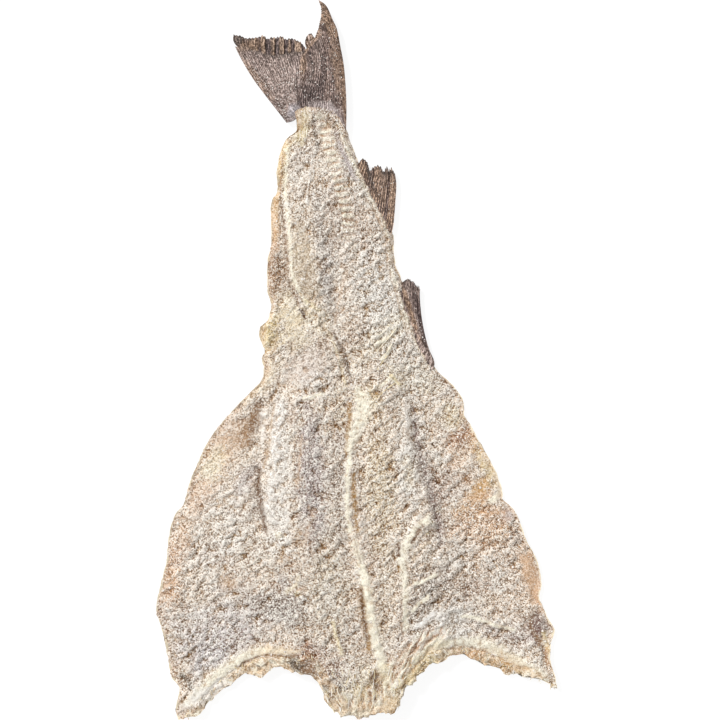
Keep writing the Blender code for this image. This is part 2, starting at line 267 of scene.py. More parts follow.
# Stains on the crust: middle, half length, half width, turn in degrees, tint, strength,
# smoothness
STAINS = [
    # the tail part: a folded strip on the left, a grey valley, pinker on the right
    ((-66, 166), 36, 7, 80, "yolk", 0.9, 0.5),
    ((-70, 112), 34, 5, 88, "orange", 0.75, 0.4),
    ((-73, 76), 20, 7, 90, "tan", 0.9, 0.3),
    ((-71, 76), 20, 7, 90, "brown", 1.0, 0.2),
    ((-46, 78), 44, 13, 101, "beige", 0.75, 0.55),
    ((-50, 160), 26, 9, 84, "white", 0.35, 0.2),
    ((-29, 102), 44, 7, 98, "slate", 0.38, 0.0),
    ((-25, 62), 22, 8, 105, "slate", 0.34, 0.0),
    ((8, 98), 48, 9, 105, "pink", 0.4, 0.0),
    ((24, 44), 60, 20, 110, "white", 0.85, 0.0),
    ((2, 40), 44, 26, 100, "white", 0.35, 0.0),
    ((6, 128), 40, 14, 110, "white", 0.45, 0.0),
    ((20, 20), 40, 12, 40, "butter", 0.35, 0.0),
    ((-48, 200), 18, 8, 78, "olive", 0.6, 0.7),
    ((-29, 217), 16, 7, -5, "film", 0.9, 0.4),
    # where the tail part widens
    ((-55, 34), 30, 14, 105, "butter", 0.55, 0.5),
    ((-74, 22), 22, 10, 88, "yolk", 0.7, 0.3),
    ((-44, -6), 24, 16, 30, "mauve", 0.25, 0.5),
    ((-82, -18), 26, 8, 50, "butter", 0.4, 0.5),
    # the left flap
    ((-92, -57), 19, 9, 70, "brown", 1.0, 0.75),
    ((-88, -50), 16, 5, 74, "umber", 0.75, 0.8),
    ((-88, -42), 12, 7, 60, "brown", 0.5, 0.1),
    ((-108, -68), 32, 15, 52, "tan", 0.6, 0.6),
    ((-95, -102), 20, 8, 62, "mauve", 0.55, 0.0),
    ((-128, -104), 44, 12, 62, "peach", 0.6, 0.4),
    ((-150, -160), 22, 9, 70, "orange", 0.5, 0.1),
    ((-112, -122), 26, 16, 40, "white", 0.25, 0.0),
    ((-118, -156), 46, 24, 50, "white", 0.3, 0.0),
    ((-161, -184), 28, 8, 82, "peach", 0.6, 0.2),
    ((-108, -190), 8, 7, 0, "tan", 0.8, 0.6),
    ((-84, -206), 24, 10, 160, "taupe", 0.35, 0.0),
    ((-112, -238), 44, 20, 18, "mauve", 0.5, 0.0),
    ((-118, -224), 52, 26, 25, "frost", 0.4, 0.0),
    ((-144, -296), 13, 6, 25, "tan", 0.7, 0.1),
    ((-61, -213), 17, 12, 130, "slate", 0.55, 0.0),
    ((-63, -183), 12, 7, 110, "slate", 0.35, 0.0),
    ((-49, -194), 5, 4, 0, "orange", 0.5, 0.2),
    # the fillets
    ((-64, -92), 58, 10, 92, "white", 0.75, 0.2),
    ((-38, -100), 70, 13, 92, "mauve", 0.8, 0.0),
    ((-24, -196), 42, 18, 95, "beige", 0.75, 0.0),
    ((20, -104), 64, 15, 92, "cream", 0.85, 0.0),
    ((24, -190), 40, 10, 88, "beige", 0.4, 0.0),
    ((-14, -40), 20, 6, 92, "cream", 0.4, 0.0),
    # the right flap
    # Painted shade at the foot of the right step
    ((59, -96), 44, 9, 105, "pink brown", 0.45, 0.0),
    ((87, -65), 13, 8.5, 55, "rust", 1.0, 0.15),
    ((102, -72), 20, 8, 122, "orange", 0.7, 0.3),
    ((84, -82), 30, 12, 118, "peach", 0.5, 0.2),
    ((105, -110), 14, 9, 60, "gold", 0.9, 0.65),
    ((96, -128), 16, 9, 20, "gold", 0.7, 0.1),
    ((126, -144), 9, 7, 60, "tan", 0.6, 0.0),
    ((112, -90), 24, 7, 118, "yolk", 0.65, 0.5),
    ((128, -132), 8, 6, 60, "mauve", 0.7, 0.6),
    ((98, -136), 28, 16, 45, "peach", 0.8, 0.0),
    ((112, -146), 22, 10, 40, "orange", 0.35, 0.0),
    ((149, -186), 30, 8, 108, "orange", 0.75, 0.8),
    ((118, -178), 50, 28, 120, "peach", 0.4, 0.0),
    ((58, -198), 30, 14, 60, "taupe", 0.75, 0.0),
    ((154, -230), 16, 10, 115, "plum", 1.0, 0.7),
    ((122, -232), 32, 9, -15, "mauve", 0.45, 0.0),
    ((163, -250), 16, 5, 118, "gold", 0.9, 0.7),
    # smaller patches, from the tail to the neck
    ((-33, 204), 13, 10, 0, "rust", 0.45, 0.0),
    ((8, 118), 18, 9, 110, "tan", 0.45, 0.0),
    ((-43, 71), 14, 9, 100, "taupe", 0.25, 0.0),
    ((-64, 71), 14, 8, 95, "tan", 0.75, 0.0),
    ((-3, 24), 26, 10, 100, "tan", 0.4, 0.0),
    ((-33, -20), 15, 12, 30, "white", 0.5, 0.0),
    ((10, -30), 12, 9, 0, "yolk", 0.5, 0.0),
    ((-13, -20), 13, 8, 90, "tan", 0.25, 0.0),
    ((48, -14), 22, 12, 160, "rind", 0.8, 0.0),
    ((-33, 31), 12, 12, 0, "rind", 0.6, 0.1),
    ((48, -40), 34, 7, 95, "white", 0.6, 0.0),
    ((44, -96), 34, 9, 98, "white", 1.0, 0.1),
    ((18, -61), 17, 9, 90, "tan", 0.3, 0.0),
    ((79, -48), 13, 10, 120, "rind", 0.9, 0.0),
    ((89, -235), 16, 8, 0, "white", 0.6, 0.0),
    ((-14, -112), 54, 9, 90, "taupe", 0.55, 0.0),
    ((-84, -124), 18, 10, 90, "taupe", 0.65, 0.0),
    ((-124, -90), 18, 11, 60, "rind", 0.95, 0.2),
    ((74, -106), 18, 12, 100, "rust", 0.3, 0.0),
    ((120, -143), 13, 10, 0, "orange", 0.25, 0.0),
    ((-64, -153), 15, 12, 90, "white", 0.65, 0.0),
    ((50, -184), 15, 8, 90, "tan", 0.25, 0.0),
    ((12, -186), 20, 10, 90, "tan", 0.25, 0.0),
    ((38, -194), 14, 8, 90, "tan", 0.2, 0.0),
    ((-84, -163), 15, 12, 90, "taupe", 0.3, 0.0),
    ((-105, -153), 16, 12, 60, "white", 0.5, 0.0),
    ((-23, -204), 22, 11, 90, "white", 0.4, 0.0),
    ((120, -184), 19, 12, 110, "white", 0.6, 0.0),
    ((99, -194), 20, 12, 60, "pink brown", 0.35, 0.0),
    ((-156, -194), 15, 9, 85, "orange", 0.45, 0.0),
    ((-74, -207), 20, 13, 0, "taupe", 0.7, 0.0),
    ((-52, -210), 20, 14, 90, "taupe", 0.65, 0.0),
    ((80, -222), 22, 15, 30, "white", 0.9, 0.1),
    ((88, -163), 16, 11, 60, "white", 0.6, 0.0),
    ((38, -245), 14, 10, 90, "taupe", 0.25, 0.0),
    ((-42, -246), 14, 11, 0, "rust", 0.6, 0.0),
    ((-23, -258), 13, 14, 0, "rust", 0.4, 0.0),
    ((3, -246), 14, 8, 95, "tan", 0.3, 0.0),
    ((-125, -255), 20, 12, 30, "frost", 0.5, 0.0),
    # the neck
    ((-6, -284), 26, 15, 0, "butter", 0.5, 0.0),
    ((-20, -266), 16, 10, 120, "taupe", 0.45, 0.0),
    ((20, -278), 16, 22, 0, "butter", 0.4, 0.0),
]

# More of them, laid last and over the lines too: most are at the neck and the collar's torn edge
EDGE_STAINS = [
    # Painted shade where the neck's underside shows through a hole
    ((-51, -257), 12, 7, -25, "dark", 0.9, 0.75),
    ((-146, -299), 13, 4, 25, "peach", 0.7, 0.5),
    ((-141, -296), 9, 1.6, 25, "brown", 0.6, 0.3),
    ((-40, -262), 10, 6, -45, "brown", 0.8, 0.4),
    ((116, -258), 26, 5.5, -14, "gold", 0.55, 0.1),
    ((136, -268), 12, 4, -30, "brown", 0.45, 0.1),
    ((92, -250), 20, 4, 0, "orange", 0.5, 0.0),
    ((6, -264), 11, 6, 90, "ivory", 0.5, 0.2),
    ((24, -266), 12, 6, 90, "yolk", 0.4, 0.0),
    ((14, -268), 8, 4.8, 82, "amber", 1.0, 0.9),
    ((14, -268), 7, 3.4, 82, "umber", 1.0, 1.0),
    ((-42, -247), 12, 9, 0, "rust", 0.7, 0.0),
    ((-22, -264), 11, 10, 0, "rust", 0.35, 0.0),
    ((44, -94), 18, 7, 98, "rind", 0.5, 0.0),
    ((-33, 206), 12, 9, 0, "taupe", 0.4, 0.0),
    ((-66, 70), 16, 6, 95, "brown", 0.4, 0.0),
    ((-37, -256), 13, 9, -30, "brown", 0.35, 0.0),
    ((38, -246), 12, 8, 90, "tan", 0.4, 0.0),
    ((48, -12), 15, 9, 160, "white", 0.5, 0.0),
    ((16, -287), 5, 2.5, 88, "umber", 0.8, 0.6),
    ((6, -296), 20, 8, 0, "ledge", 0.5, 0.3),
    ((-128, -284), 28, 7, 32, "white", 0.75, 0.5),
    ((36, -284), 22, 9, 52, "butter", 0.5, 0.2),
    ((28, -288), 13, 9, 60, "ivory", 0.5, 0.2),
    ((2, -278), 9, 7, 90, "butter", 0.6, 0.0),
    ((66, -246), 15, 9, 40, "butter", 0.5, 0.0),
    ((50, -256), 12, 8, 50, "butter", 0.45, 0.0),
    ((130, -256), 22, 7, -30, "gold", 0.35, 0.0),
    ((-66, -246), 22, 8, 0, "gold", 0.35, 0.0),
    ((-4, -300), 12, 4, 5, "ivory", 0.6, 0.3),
    ((26, -294), 13, 9, 60, "gold", 0.45, 0.0),
    ((31, -300), 5, 3.5, 70, "amber", 0.9, 0.2),
    ((-14, -277), 14, 8, 120, "taupe", 0.35, 0.0),
    ((-22, -286), 8, 5, 120, "brown", 0.45, 0.0),
    ((-26, -276), 5, 3, 120, "umber", 0.7, 0.5),
    ((52, -262), 24, 4, 40, "yolk", 0.6, 0.0),
]


# ---- Where things are ------------------------------------------------------------------
def middle_of_outline():
    """The landmark plane's point that the solid has at its origin."""
    outline = np.vstack([smooth_curve(line, COARSE_ROWS + 1) for line in (LEFT_EDGE, RIGHT_EDGE)]
                        + [smooth_curve(line, COARSE_COLUMNS + 1)
                           for line in (LEFT_COLLAR, RIGHT_COLLAR)])
    low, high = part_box(NODE)
    x_middle = (outline[:, 0].min() + outline[:, 0].max()) / 2 - (low.x + high.x) / 2 / MM
    y_middle = outline[:, 1].min() - low.y / MM
    return np.array([x_middle, y_middle])


MIDDLE = middle_of_outline()


def face_tree(mesh):
    """The mesh's faces, for rays to be cast at."""
    return BVHTree.FromPolygons([v.co for v in mesh.vertices],
                                [tuple(p.vertices) for p in mesh.polygons])


def solid_tree():
    return face_tree(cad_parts[NODE].data)


def solid_height(tree, xy, way):
    """Height in mm of the solid's upper (way 1) or lower (way -1) surface at landmark points."""
    heights = []
    for x, y in (xy - MIDDLE) * MM:
        hit = tree.ray_cast(Vector((x, y, SOLID_RAY_START * way)), Vector((0, 0, -way)))[0]
        if hit is None:
            hit = tree.find_nearest(Vector((x, y, NEAREST_FROM)))[0]
        heights.append(hit.z / MM)
    return np.array(heights)


def half_outline(side):
    if side == "left":
        return LEFT_TAIL_END, LEFT_COLLAR, LEFT_EDGE
    return RIGHT_TAIL_END, RIGHT_COLLAR, RIGHT_EDGE


def half_grid(side, rows, columns):
    """Landmark XY of half the fish, rows from tail to neck, columns from the seam outwards."""
    tail_end, collar, edge = half_outline(side)
    return patch(smooth_curve(tail_end, columns + 1), smooth_curve(collar, columns + 1),
                 smooth_curve(SEAM, rows + 1), smooth_curve(edge, rows + 1))


def solid_surface(tree, side, rows, columns, way):
    """The solid's upper (way 1) or lower (way -1) height over half the fish, as a fine grid."""
    coarse = half_grid(side, COARSE_ROWS, COARSE_COLUMNS)
    heights = solid_height(tree, coarse.reshape(-1, 2), way)
    return upsample(heights.reshape(coarse.shape[:2]), rows + 1, columns + 1)


def distance(xy, *lines):
    """How far each point of a grid is from the nearest of its own rows or columns given."""
    return np.minimum.reduce([np.linalg.norm(xy - line, axis=2) for line in lines])


def edge_distance(xy):
    """About how far each point of a half's grid is inside the outline."""
    return distance(xy, xy[:, -1:], xy[:1], xy[-1:])


# ---- Relief of the flesh ---------------------------------------------------------------
class Line(Path):
    """A path along the flesh that raises it (or, with a height below 0, hollows it).

    It has one half width or some spread along it, gives its tint and smoothness to the
    flesh, has sharper sides the more crisp it is, and comes and goes where it is beaded.
    """

    def __init__(self, landmarks, height, widths, tint, strength, calm=0.55, crisp=1.0, beads=0.3):
        super().__init__(landmarks, 12 + 4 * len(landmarks))
        self.widths = np.atleast_1d(widths).astype(float)
        self.height, self.tint, self.strength = height, tint, strength
        self.calm, self.crisp, self.beads = calm, crisp, beads

    def half_width(self, share):
        return np.interp(share, np.linspace(0, 1, len(self.widths)), self.widths)


CUT_STARTS = -240  # nearer the tail than this nothing was cut
CUT_DROOP = 1.0  # how far the cut edge hangs below the flesh behind it
LEFT_BAND = [(-40, -240), (-50, -246), (-66, -246.5), (-84, -247.5), (-103, -257), (-120, -270),
             (-134, -283), (-144, -293), (-150, -301)]
RIGHT_BAND = [(58, -241), (79, -240), (96, -240), (110, -243), (122, -248), (132, -254),
              (144, -261), (156, -267), (165, -273)]

LINES = [
    # the folded strip on the left of the tail part, and beside it a slit and a hole darkened with
    # painted shade
    Line([(-59, 189), (-66, 170), (-69, 144), (-70, 115), (-71, 98)], 0.4, 4.0, "yolk", 0.4),
    Line([(-62, 180), (-65, 144), (-62, 115), (-60, 89), (-60, 75), (-56, 62), (-50, 49),
          (-43, 37)], -0.3, (0.8, 1.0, 1.3, 1.3), "brown", 0.9, 0.6, 1.3, 0.2),
    Line([(-49, 43), (-46, 39), (-43, 34)], -0.9, 1.8, "umber", 1, 0.6, 1.4, 0.0),
    Line([(-57, 184), (-60, 166), (-61, 144), (-58, 115), (-56, 89), (-55, 75), (-52, 64),
          (-46, 53), (-38, 40)], 0.6, 1.6, "ivory", 0.95, 0.8, 1.4, 0.1),
    Line([(-45, 52), (-36, 44), (-30, 42)], 0.9, 1.6, "butter", 0.84, 0.8),
    Line([(-80, 3), (-78, 14), (-75, 27), (-70, 35)], 1.8, 4.6, "yolk", 0.9, 0.6, 1.0, 0.2),
    # A painted shadow to the right of the yellow bump
    Line([(-67, 34), (-68, 21), (-71, 5)], -0.3, 1.0, "amber", 0.6),
    # the root of the tail fin, with a dark fold line of painted shade
    Line([(-37, 213), (-36, 197), (-33, 178)], -0.4, 1.3, "dark", 0.7, 0.4, 1.2, 0.3),
    Line([(-38, 172), (-41, 149), (-43, 128)], 0.6, 1.0, "white", 0.72),
    Line([(-46, 212), (-45, 196), (-47, 180)], 0.6, 1.6, "butter", 0.6, 0.95),
    # the right side of the tail part: a thin line, and a pale rim
    Line([(-19, 198), (-14, 181), (-6, 163), (0, 150)], -0.3, 2.2, "mauve", 0.84),
    Line([(-17, 204), (-12, 188), (-5, 172), (2, 160), (8, 146)],
         0.9, 0.8, "ivory", 1, 0.6, 1.2, 0.2),
    Line([(-14, 196), (-9, 184), (-4, 170), (5, 149), (15, 132), (22, 119), (27, 101), (29, 80),
          (35, 59), (42, 36), (48, 20), (55, 6), (64, -9)],
         1.0, 1.5, "ivory", 0.9, 0.4, 1.0, 0.5),
    # Painted shade along the pale rim's inner side
    Line([(2, 147), (12, 130), (19, 117), (24, 100), (26, 80), (32, 58), (39, 34), (45, 18)],
         -0.3, 1.1, "amber", 0.6),
    # the seam between the fillets: a slit darkened with painted shade, a pale lip, then cartilage
    # beside a gap of painted brown shade
    Line([(-8, 78), (-14, 56), (-18, 38), (-20, 24)], -0.3, 1.4, "tan", 0.6),
    Line([(-21, 26), (-14, 12), (-10, 2), (-8, -7), (-5, -18)],
         -0.5, (1.2, 1.3, 1.8, 1.6), "umber", 0.9, 0.6, 1.4, 0.0),
    Line([(-9, -2), (-7, -8), (-5, -15)], -0.3, 0.9, "dark", 0.6, 0.6, 1.4, 0.0),
    Line([(-25, 25), (-18, 10), (-14, -3), (-11, -16), (-9, -28)], 0.8, 1.4, "butter", 0.72, 0.4),
    Line([(-7, -33), (-6, -49), (-8, -64), (-9, -84)],
         -0.1, (2.0, 2.6, 2.2, 1.6), "amber", 1, 0.7, 1.6, 0.1),
    Line([(-3, -92), (-3, -110), (-1, -128), (0, -140), (1, -150)],
         -0.1, (1.4, 2.4, 2.6, 1.6), "amber", 1, 0.7, 1.6, 0.1),
    Line([(-3, -21), (2, -28), (6, -36), (6, -42), (3, -51), (-1, -60), (-5, -70), (-6, -80)],
         0.9, (1.2, 4.4, 7.6, 8.0, 6.6, 5.2, 3.8, 2.4), "ivory", 1, 0.75, 1.6, 0.15),
    Line([(-6, -73), (-6, -82), (-8, -95), (-8, -109), (-8, -122), (-7, -136), (-4, -149)],
         0.35, (2.6, 1.7, 2.8, 1.6, 2.8, 1.6, 2.8, 1.6, 2.8, 1.5, 2.6, 1.4),
         "ivory", 1, 0.9, 1.8, 0.1),
    Line([(-3, -146), (-1, -157), (3, -170), (7, -187), (9, -204), (12, -221), (16, -238),
          (20, -253), (21, -266)],
         0.8, (2.4, 3.2, 4.0, 5.0, 5.6, 5.8, 5.6, 5.0, 3.6), "ivory", 1, 0.9, 2.2, 0.05),
    Line([(-2, -150), (0, -160), (4, -172)], -0.3, 0.9, "brown", 0.72, 0.6, 1.2, 0.0),
    # Painted shadow on the left of the lower cartilage
    Line([(2, -188), (4, -198), (6, -216), (9, -236), (12, -249)],
         -0.4, (1.8, 3.6, 3.6, 2.6), "amber", 1, 0.85, 1.4, 0.1),
    Line([(3, -190), (4, -200), (6, -218), (9, -238)],
         -0.6, (1.2, 2.0, 2.0, 1.4), "umber", 1, 0.8, 1.4, 0.1),
    # the curved lip in the right fillet, with painted shade in the gaps and pits beside it
    Line([(61, -126), (60, -133), (54, -139), (49, -145), (43, -153), (39, -162), (38, -172),
          (40, -182), (41, -196), (40, -209), (41, -223), (41, -233)],
         1.0, (1.6, 3.2, 4.2, 4.6, 4.6, 4.0, 3.4, 3.0, 3.0, 3.0, 2.4),
         "ivory", 1, 0.75, 1.5, 0.15),
    Line([(57, -138), (50, -147), (45, -155)], -0.5, 1.8, "brown", 1, 0.6, 1.3, 0.0),
    Line([(35, -154), (35, -166)], -0.6, 2.4, "umber", 1, 0.6, 1.3, 0.0),
    Line([(35, -172), (35, -179)], -0.6, 1.5, "amber", 1, 0.6, 1.3, 0.0),
    Line([(37, -200), (37, -222), (39, -236)], -0.4, 1.1, "brown", 0.96, 0.6, 1.3, 0.1),
    Line([(46, -170), (50, -161), (57, -156), (64, -153)], 0.8, 1.2, "cream", 0.6),
    Line([(46, -189), (56, -186), (68, -180)], 0.8, 1.7, "ivory", 1, 0.9, 2.0, 0.0),
    Line([(45, -213), (52, -206), (61, -198)], 0.8, 1.9, "ivory", 1, 0.95, 2.0, 0.0),
    Line([(48, -226), (58, -219), (68, -211)], 0.9, 2.2, "white", 1, 0.95, 2.0, 0.0),
    # slivers of flesh that stand up between the fillets and the tail part
    Line([(14, 12), (24, 18), (33, 27)], 0.8, 1.6, "ivory", 1, 0.9, 2.0, 0.0),
    Line([(19, -1), (24, 3), (29, 11)], 0.8, 1.6, "ivory", 1, 0.9, 2.0, 0.0),
    Line([(19, -23), (24, -19), (31, -12)], 0.8, 1.5, "ivory", 1, 0.9, 2.0, 0.0),
    Line([(27, -12), (32, -16), (37, -22)], 0.8, 1.5, "butter", 1, 0.9, 2.0, 0.0),
    Line([(-47, -33), (-38, -31), (-27, -28)], 0.8, 1.7, "ivory", 1, 0.9, 2.0, 0.0),
    Line([(-34, -23), (-31, -25), (-28, -27)], -0.4, 1.0, "umber", 0.9, 0.3, 1.3, 0.0),
    # the steps from the fillets down to the flaps, with painted shade at their feet, and the long
    # ridge on the left
    # Painted shade at the foot of the left step
    Line([(-70, -34), (-72, -51), (-74, -68), (-76, -82), (-80, -94)],
         -0.6, 1.5, "amber", 0.9, 0.8, 1.5, 0.2),
    Line([(-82, -88), (-84, -104), (-82, -119), (-79, -134), (-76, -149)],
         -1.0, (1.6, 2.8, 2.8, 1.6), "umber", 1, 0.85, 1.6, 0.0),
    Line([(-80, -40), (-80, -58), (-82, -76)], 1.3, 3.6, "white", 0.66, 0.6, 1.0, 0.5),
    Line([(-64, -30), (-66, -55), (-69, -76), (-71, -98), (-73, -119), (-71, -142)],
         1.8, 5.6, "white", 0.9, 0.45, 1.0, 0.2),
    Line([(-46, -60), (-48, -76), (-49, -94), (-51, -110)], -0.3, 1.3, "tan", 0.72),
    Line([(-43, -122), (-37, -130), (-43, -146), (-41, -158)], -0.3, 2.4, "tan", 0.72),
    Line([(-52, -140), (-48, -146), (-52, -151)], -0.4, 1.6, "amber", 0.72),
    Line([(40, -32), (42, -51), (43, -65)], 1.2, 2.4, "white", 0.54, 0.6),
    # Painted shade at the foot of the right step
    Line([(47, -34), (49, -50), (50, -64), (53, -76), (57, -90), (61, -104), (64, -119),
          (68, -133), (71, -148), (72, -162)],
         -0.4, (1.2, 2.2, 2.6, 2.2, 3.0, 3.6, 2.6), "pink brown", 0.8, 0.1, 1.2, 0.3),
    # the left fillet's lower end
    Line([(-21, -218), (-17, -233), (-12, -250)], 1.0, 1.8, "butter", 0.95, 0.6, 1.2, 0.1),
    Line([(-18, -221), (-13, -236), (-7, -252)], -0.5, 1.4, "umber", 0.85, 0.3, 1.2, 0.2),
    Line([(-62, -197), (-52, -190), (-48, -180)], 0.8, 1.8, "butter", 0.6),
    # the flaps' own creases and folds
    # Painted shade in the left flap's fold and in the notch where its edge folds
    Line([(-139, -249), (-140, -262), (-145, -274)], -0.3, 1.4, "brown", 0.6),
    Line([(-152, -268), (-144, -273), (-140, -281)], -0.6, 2.2, "dark", 0.8, 0.3, 1.2, 0.1),
    Line([(86, -217), (96, -218), (109, -222), (122, -227), (137, -230)],
         0.8, 1.6, "ivory", 1, 0.9, 2.0, 0.1),
    Line([(149, -213), (148, -227), (156, -242), (164, -257), (169, -268)],
         -0.4, 1.8, "brown", 0.9, 0.5, 1.3, 0.1),
    Line([(158, -230), (162, -243), (166, -254)], 0.8, 2.2, "yolk", 0.8, 0.6, 1.3, 0.1),
    Line([(118, -98), (122, -106), (120, -115), (111, -121)],
         0.7, 2.6, "ivory", 1, 0.9, 1.4, 0.0),
    Line([(100, -128), (112, -131), (122, -128)], -0.3, 1.3, "orange", 0.72),
    Line([(-118, -24), (-104, -18), (-92, -10)], 0.7, 1.2, "butter", 0.6),
    Line([(30, -299), (35, -291), (42, -280), (50, -271), (58, -262), (66, -259), (78, -254)],
         0.3, 3.0, "ledge", 0.9, 0.4, 1.0, 0.2),
    # the collar: a thick pale edge with a brown line of painted shadow under it
    Line(LEFT_BAND,
         0.3, (0.8, 2.4, 4.0, 5.0, 6.0, 6.0, 5.4, 4.4, 3.0), "ivory", 1, 0.85, 1.5, 0.05),
    Line([(-104, -263), (-94, -257), (-84, -253), (-74, -251), (-60, -251), (-48, -252)],
         -0.5, 1.5, "brown", 1, 0.7, 2.0, 0.1),
    Line(RIGHT_BAND, 0.2, (2.0, 4.0, 5.4, 6.0, 6.0, 5.8, 5.4, 4.0), "ivory", 1, 0.85, 1.6, 0.05),
    Line([(67, -247), (79, -245), (95, -245), (109, -249), (120, -254), (131, -261), (142, -267)],
         -0.5, 1.5, "brown", 1, 0.7, 2.0, 0.1),
]
# The fillets end in a sharp step down to the flaps: path, drop, reach, which way in X the seam is
STEPS = (
    (Path([(-77, -30), (-78, -50), (-80, -68), (-82, -90), (-84, -106), (-83, -120), (-80, -134),
           (-78, -150)]), 1.6, 8.0, 1),
    (Path([(44, -28), (46, -51), (47, -65), (50, -75), (54, -88), (58, -104), (61, -119),
           (65, -133), (68, -148), (69, -166)]), 0.9, 8.0, -1),
)
VERTEBRAE = Path([(-30, 206), (-26, 192), (-23, 180), (-19, 166), (-14, 151), (-11, 138), (-8, 123),
                  (-6, 106), (-4, 88)])
VERTEBRA_PITCH = 6.2
VERTEBRA_HALF_WIDTH = 5.6

# Lumps of salt and curd: place, radius, height, tint, strength
KNOBS = [
    ((56, -54), 3.0, 1.2, "white", 0.7), ((54, -65), 2.6, 1.2, "white", 0.8),
    ((66, -78), 2.6, 0.9, "white", 0.6), ((62, -99), 3.6, 1.0, "white", 0.6),
    ((70, -127), 4.0, 1.2, "white", 0.6), ((78, -132), 3.0, 0.8, "white", 0.5),
    ((76, -84), 4.2, 0.9, "white", 0.7), ((-62, -146), 5.0, 1.2, "white", 0.6),
    ((-66, -148), 3.4, 1.0, "butter", 0.5), ((-78, 30), 4.0, 1.4, "butter", 0.8),
    ((-82, 20), 3.2, 1.3, "butter", 0.8), ((-76, 12), 3.6, 1.4, "butter", 0.8),
    ((-79, 5), 3.0, 1.0, "cream", 0.7), ((-79, -6), 3.0, 0.8, "taupe", 0.7),
    ((-70, 26), 3.0, 1.0, "cream", 0.6), ((-58, 132), 4.0, 0.7, "white", 0.5),
    ((-50, -197), 3.0, 1.1, "butter", 0.7), ((-46, -201), 2.4, 0.9, "white", 0.6),
    ((7, -188), 3.0, 0.7, "ivory", 0.7), ((9, -198), 3.4, 0.9, "ivory", 0.7),
    ((11, -209), 3.8, 1.1, "ivory", 0.8), ((13, -218), 3.6, 0.9, "ivory", 0.8),
    ((14, -229), 4.0, 1.1, "ivory", 0.8), ((17, -240), 3.4, 0.8, "ivory", 0.7),
    # The tan dents between the lower cartilage's knobs: painted shade
    ((10, -193), 2.0, -0.3, "tan", 0.4), ((12, -204), 2.0, -0.3, "tan", 0.4),
    ((12, -223), 2.2, -0.3, "tan", 0.4), ((-26, -7), 3.4, 1.0, "brown", 0.4),
    ((62, -137), 2.6, 0.9, "ivory", 0.8), ((60, -146), 2.2, 0.8, "ivory", 0.7),
]

# Bundles of dried fibres: middle, half length, half width, turn, turn of the fibres, depth, gaps
FIBRES = [
    ((14, -290), 27, 13, 0, 92, 0.8, "orange"),
    ((-16, -290), 16, 9, 20, 96, 0.6, "mauve"),
    ((26, -268), 18, 11, 90, 82, 0.8, "tan"),
    ((56, -242), 24, 11, 38, 56, 0.7, "peach"),
    ((44, -264), 18, 9, 60, 66, 0.8, "orange"),
    ((-47, 203), 18, 8, 85, 86, 0.3, "olive"),
]
FIRST_FIBRE_SEED = 120


def lumps(x, y, seed, size=1):
    """Rounded lumps about that wide with sharp creases between them, from about -1 to 1."""
    x, y = x / size, y / size
    aside, along, rise = np.random.default_rng(seed).random((3, TABLE_SIZE))
    xi, yi = np.floor(x).astype(np.int64), np.floor(y).astype(np.int64)
    nearest, own_rise = np.full(np.shape(x), 9.0), np.zeros(np.shape(x))
    for i in (-1, 0, 1):
        for j in (-1, 0, 1):
            h = table_place(xi + i, yi + j)
            away = np.hypot(xi + i + aside[h] - x, yi + j + along[h] - y)
            own_rise = np.where(away < nearest, rise[h], own_rise)
            nearest = np.minimum(nearest, away)
    return 0.36 + 0.9 * own_rise - 2.4 * nearest ** 1.4


def crust_relief(x, y):
    """The salted surface: leaning flakes with curdled lumps on them, from about -1 to 1."""
    wx = x + 1.5 * gradient_noise(x, y, 11, 7) + 0.5 * gradient_noise(x, y, 13, 2.5)
    wy = y + 1.5 * gradient_noise(x, y, 12, 7) + 0.5 * gradient_noise(x, y, 14, 2.5)
    soft = gradient_noise(wx, wy, 21, 17)
    flakes = gradient_noise(*turned(wx, wy, 44, 15.0, 4.8), 31)
    scales = lumps(*turned(wx, wy, 42, 8.6, 4.6), 32)
    curds = lumps(wx, wy, 41, 3.3)
    fine = lumps(wx, wy, 51, 1.8)
    relief = 0.25 * soft + 0.6 * flakes + 0.38 * scales + 0.33 * curds + 0.30 * fine
    return (0.9 + 0.4 * gradient_noise(x, y, 61, 30)) * relief


def mottled(x, y, tone):
    """Broad and small patches of paler, warmer and greyer flesh."""
    for length, seed, tint, strength in ((34, 101, "tan", 0.22), (30, 102, "mauve", 0.30),
                                         (13, 103, "white", 0.28), (12, 104, "tan", 0.28),
                                         (7, 107, "amber", 0.20), (6.5, 106, "white", 0.22)):
        patches = gradient_noise(x, y, seed, length)
        tone = blend(tone, tint, strength * smoothstep(-0.1, 0.65, patches))
    return tone


def within(x, y, oval, outside, inside, wobble):
    """Share from 0 to 1 inside an uneven oval: middle, half length, half width, turn."""
    (cx, cy), half_length, half_width, degrees = oval
    away = np.hypot(*turned(x - cx, y - cy, degrees, half_length, half_width))
    return smoothstep(outside, inside, away + wobble)


def stained(x, y, tone, calm, stains):
    wobble = 0.35 * gradient_noise(x, y, 71, 11) + 0.25 * gradient_noise(x, y, 72, 4)
    for *oval, tint, strength, smooth in stains:
        inside = within(x, y, oval, 1.35, 0.35, wobble)
        tone = blend(tone, tint, strength * inside)
        calm = np.maximum(calm, smooth * inside)
    return tone, calm


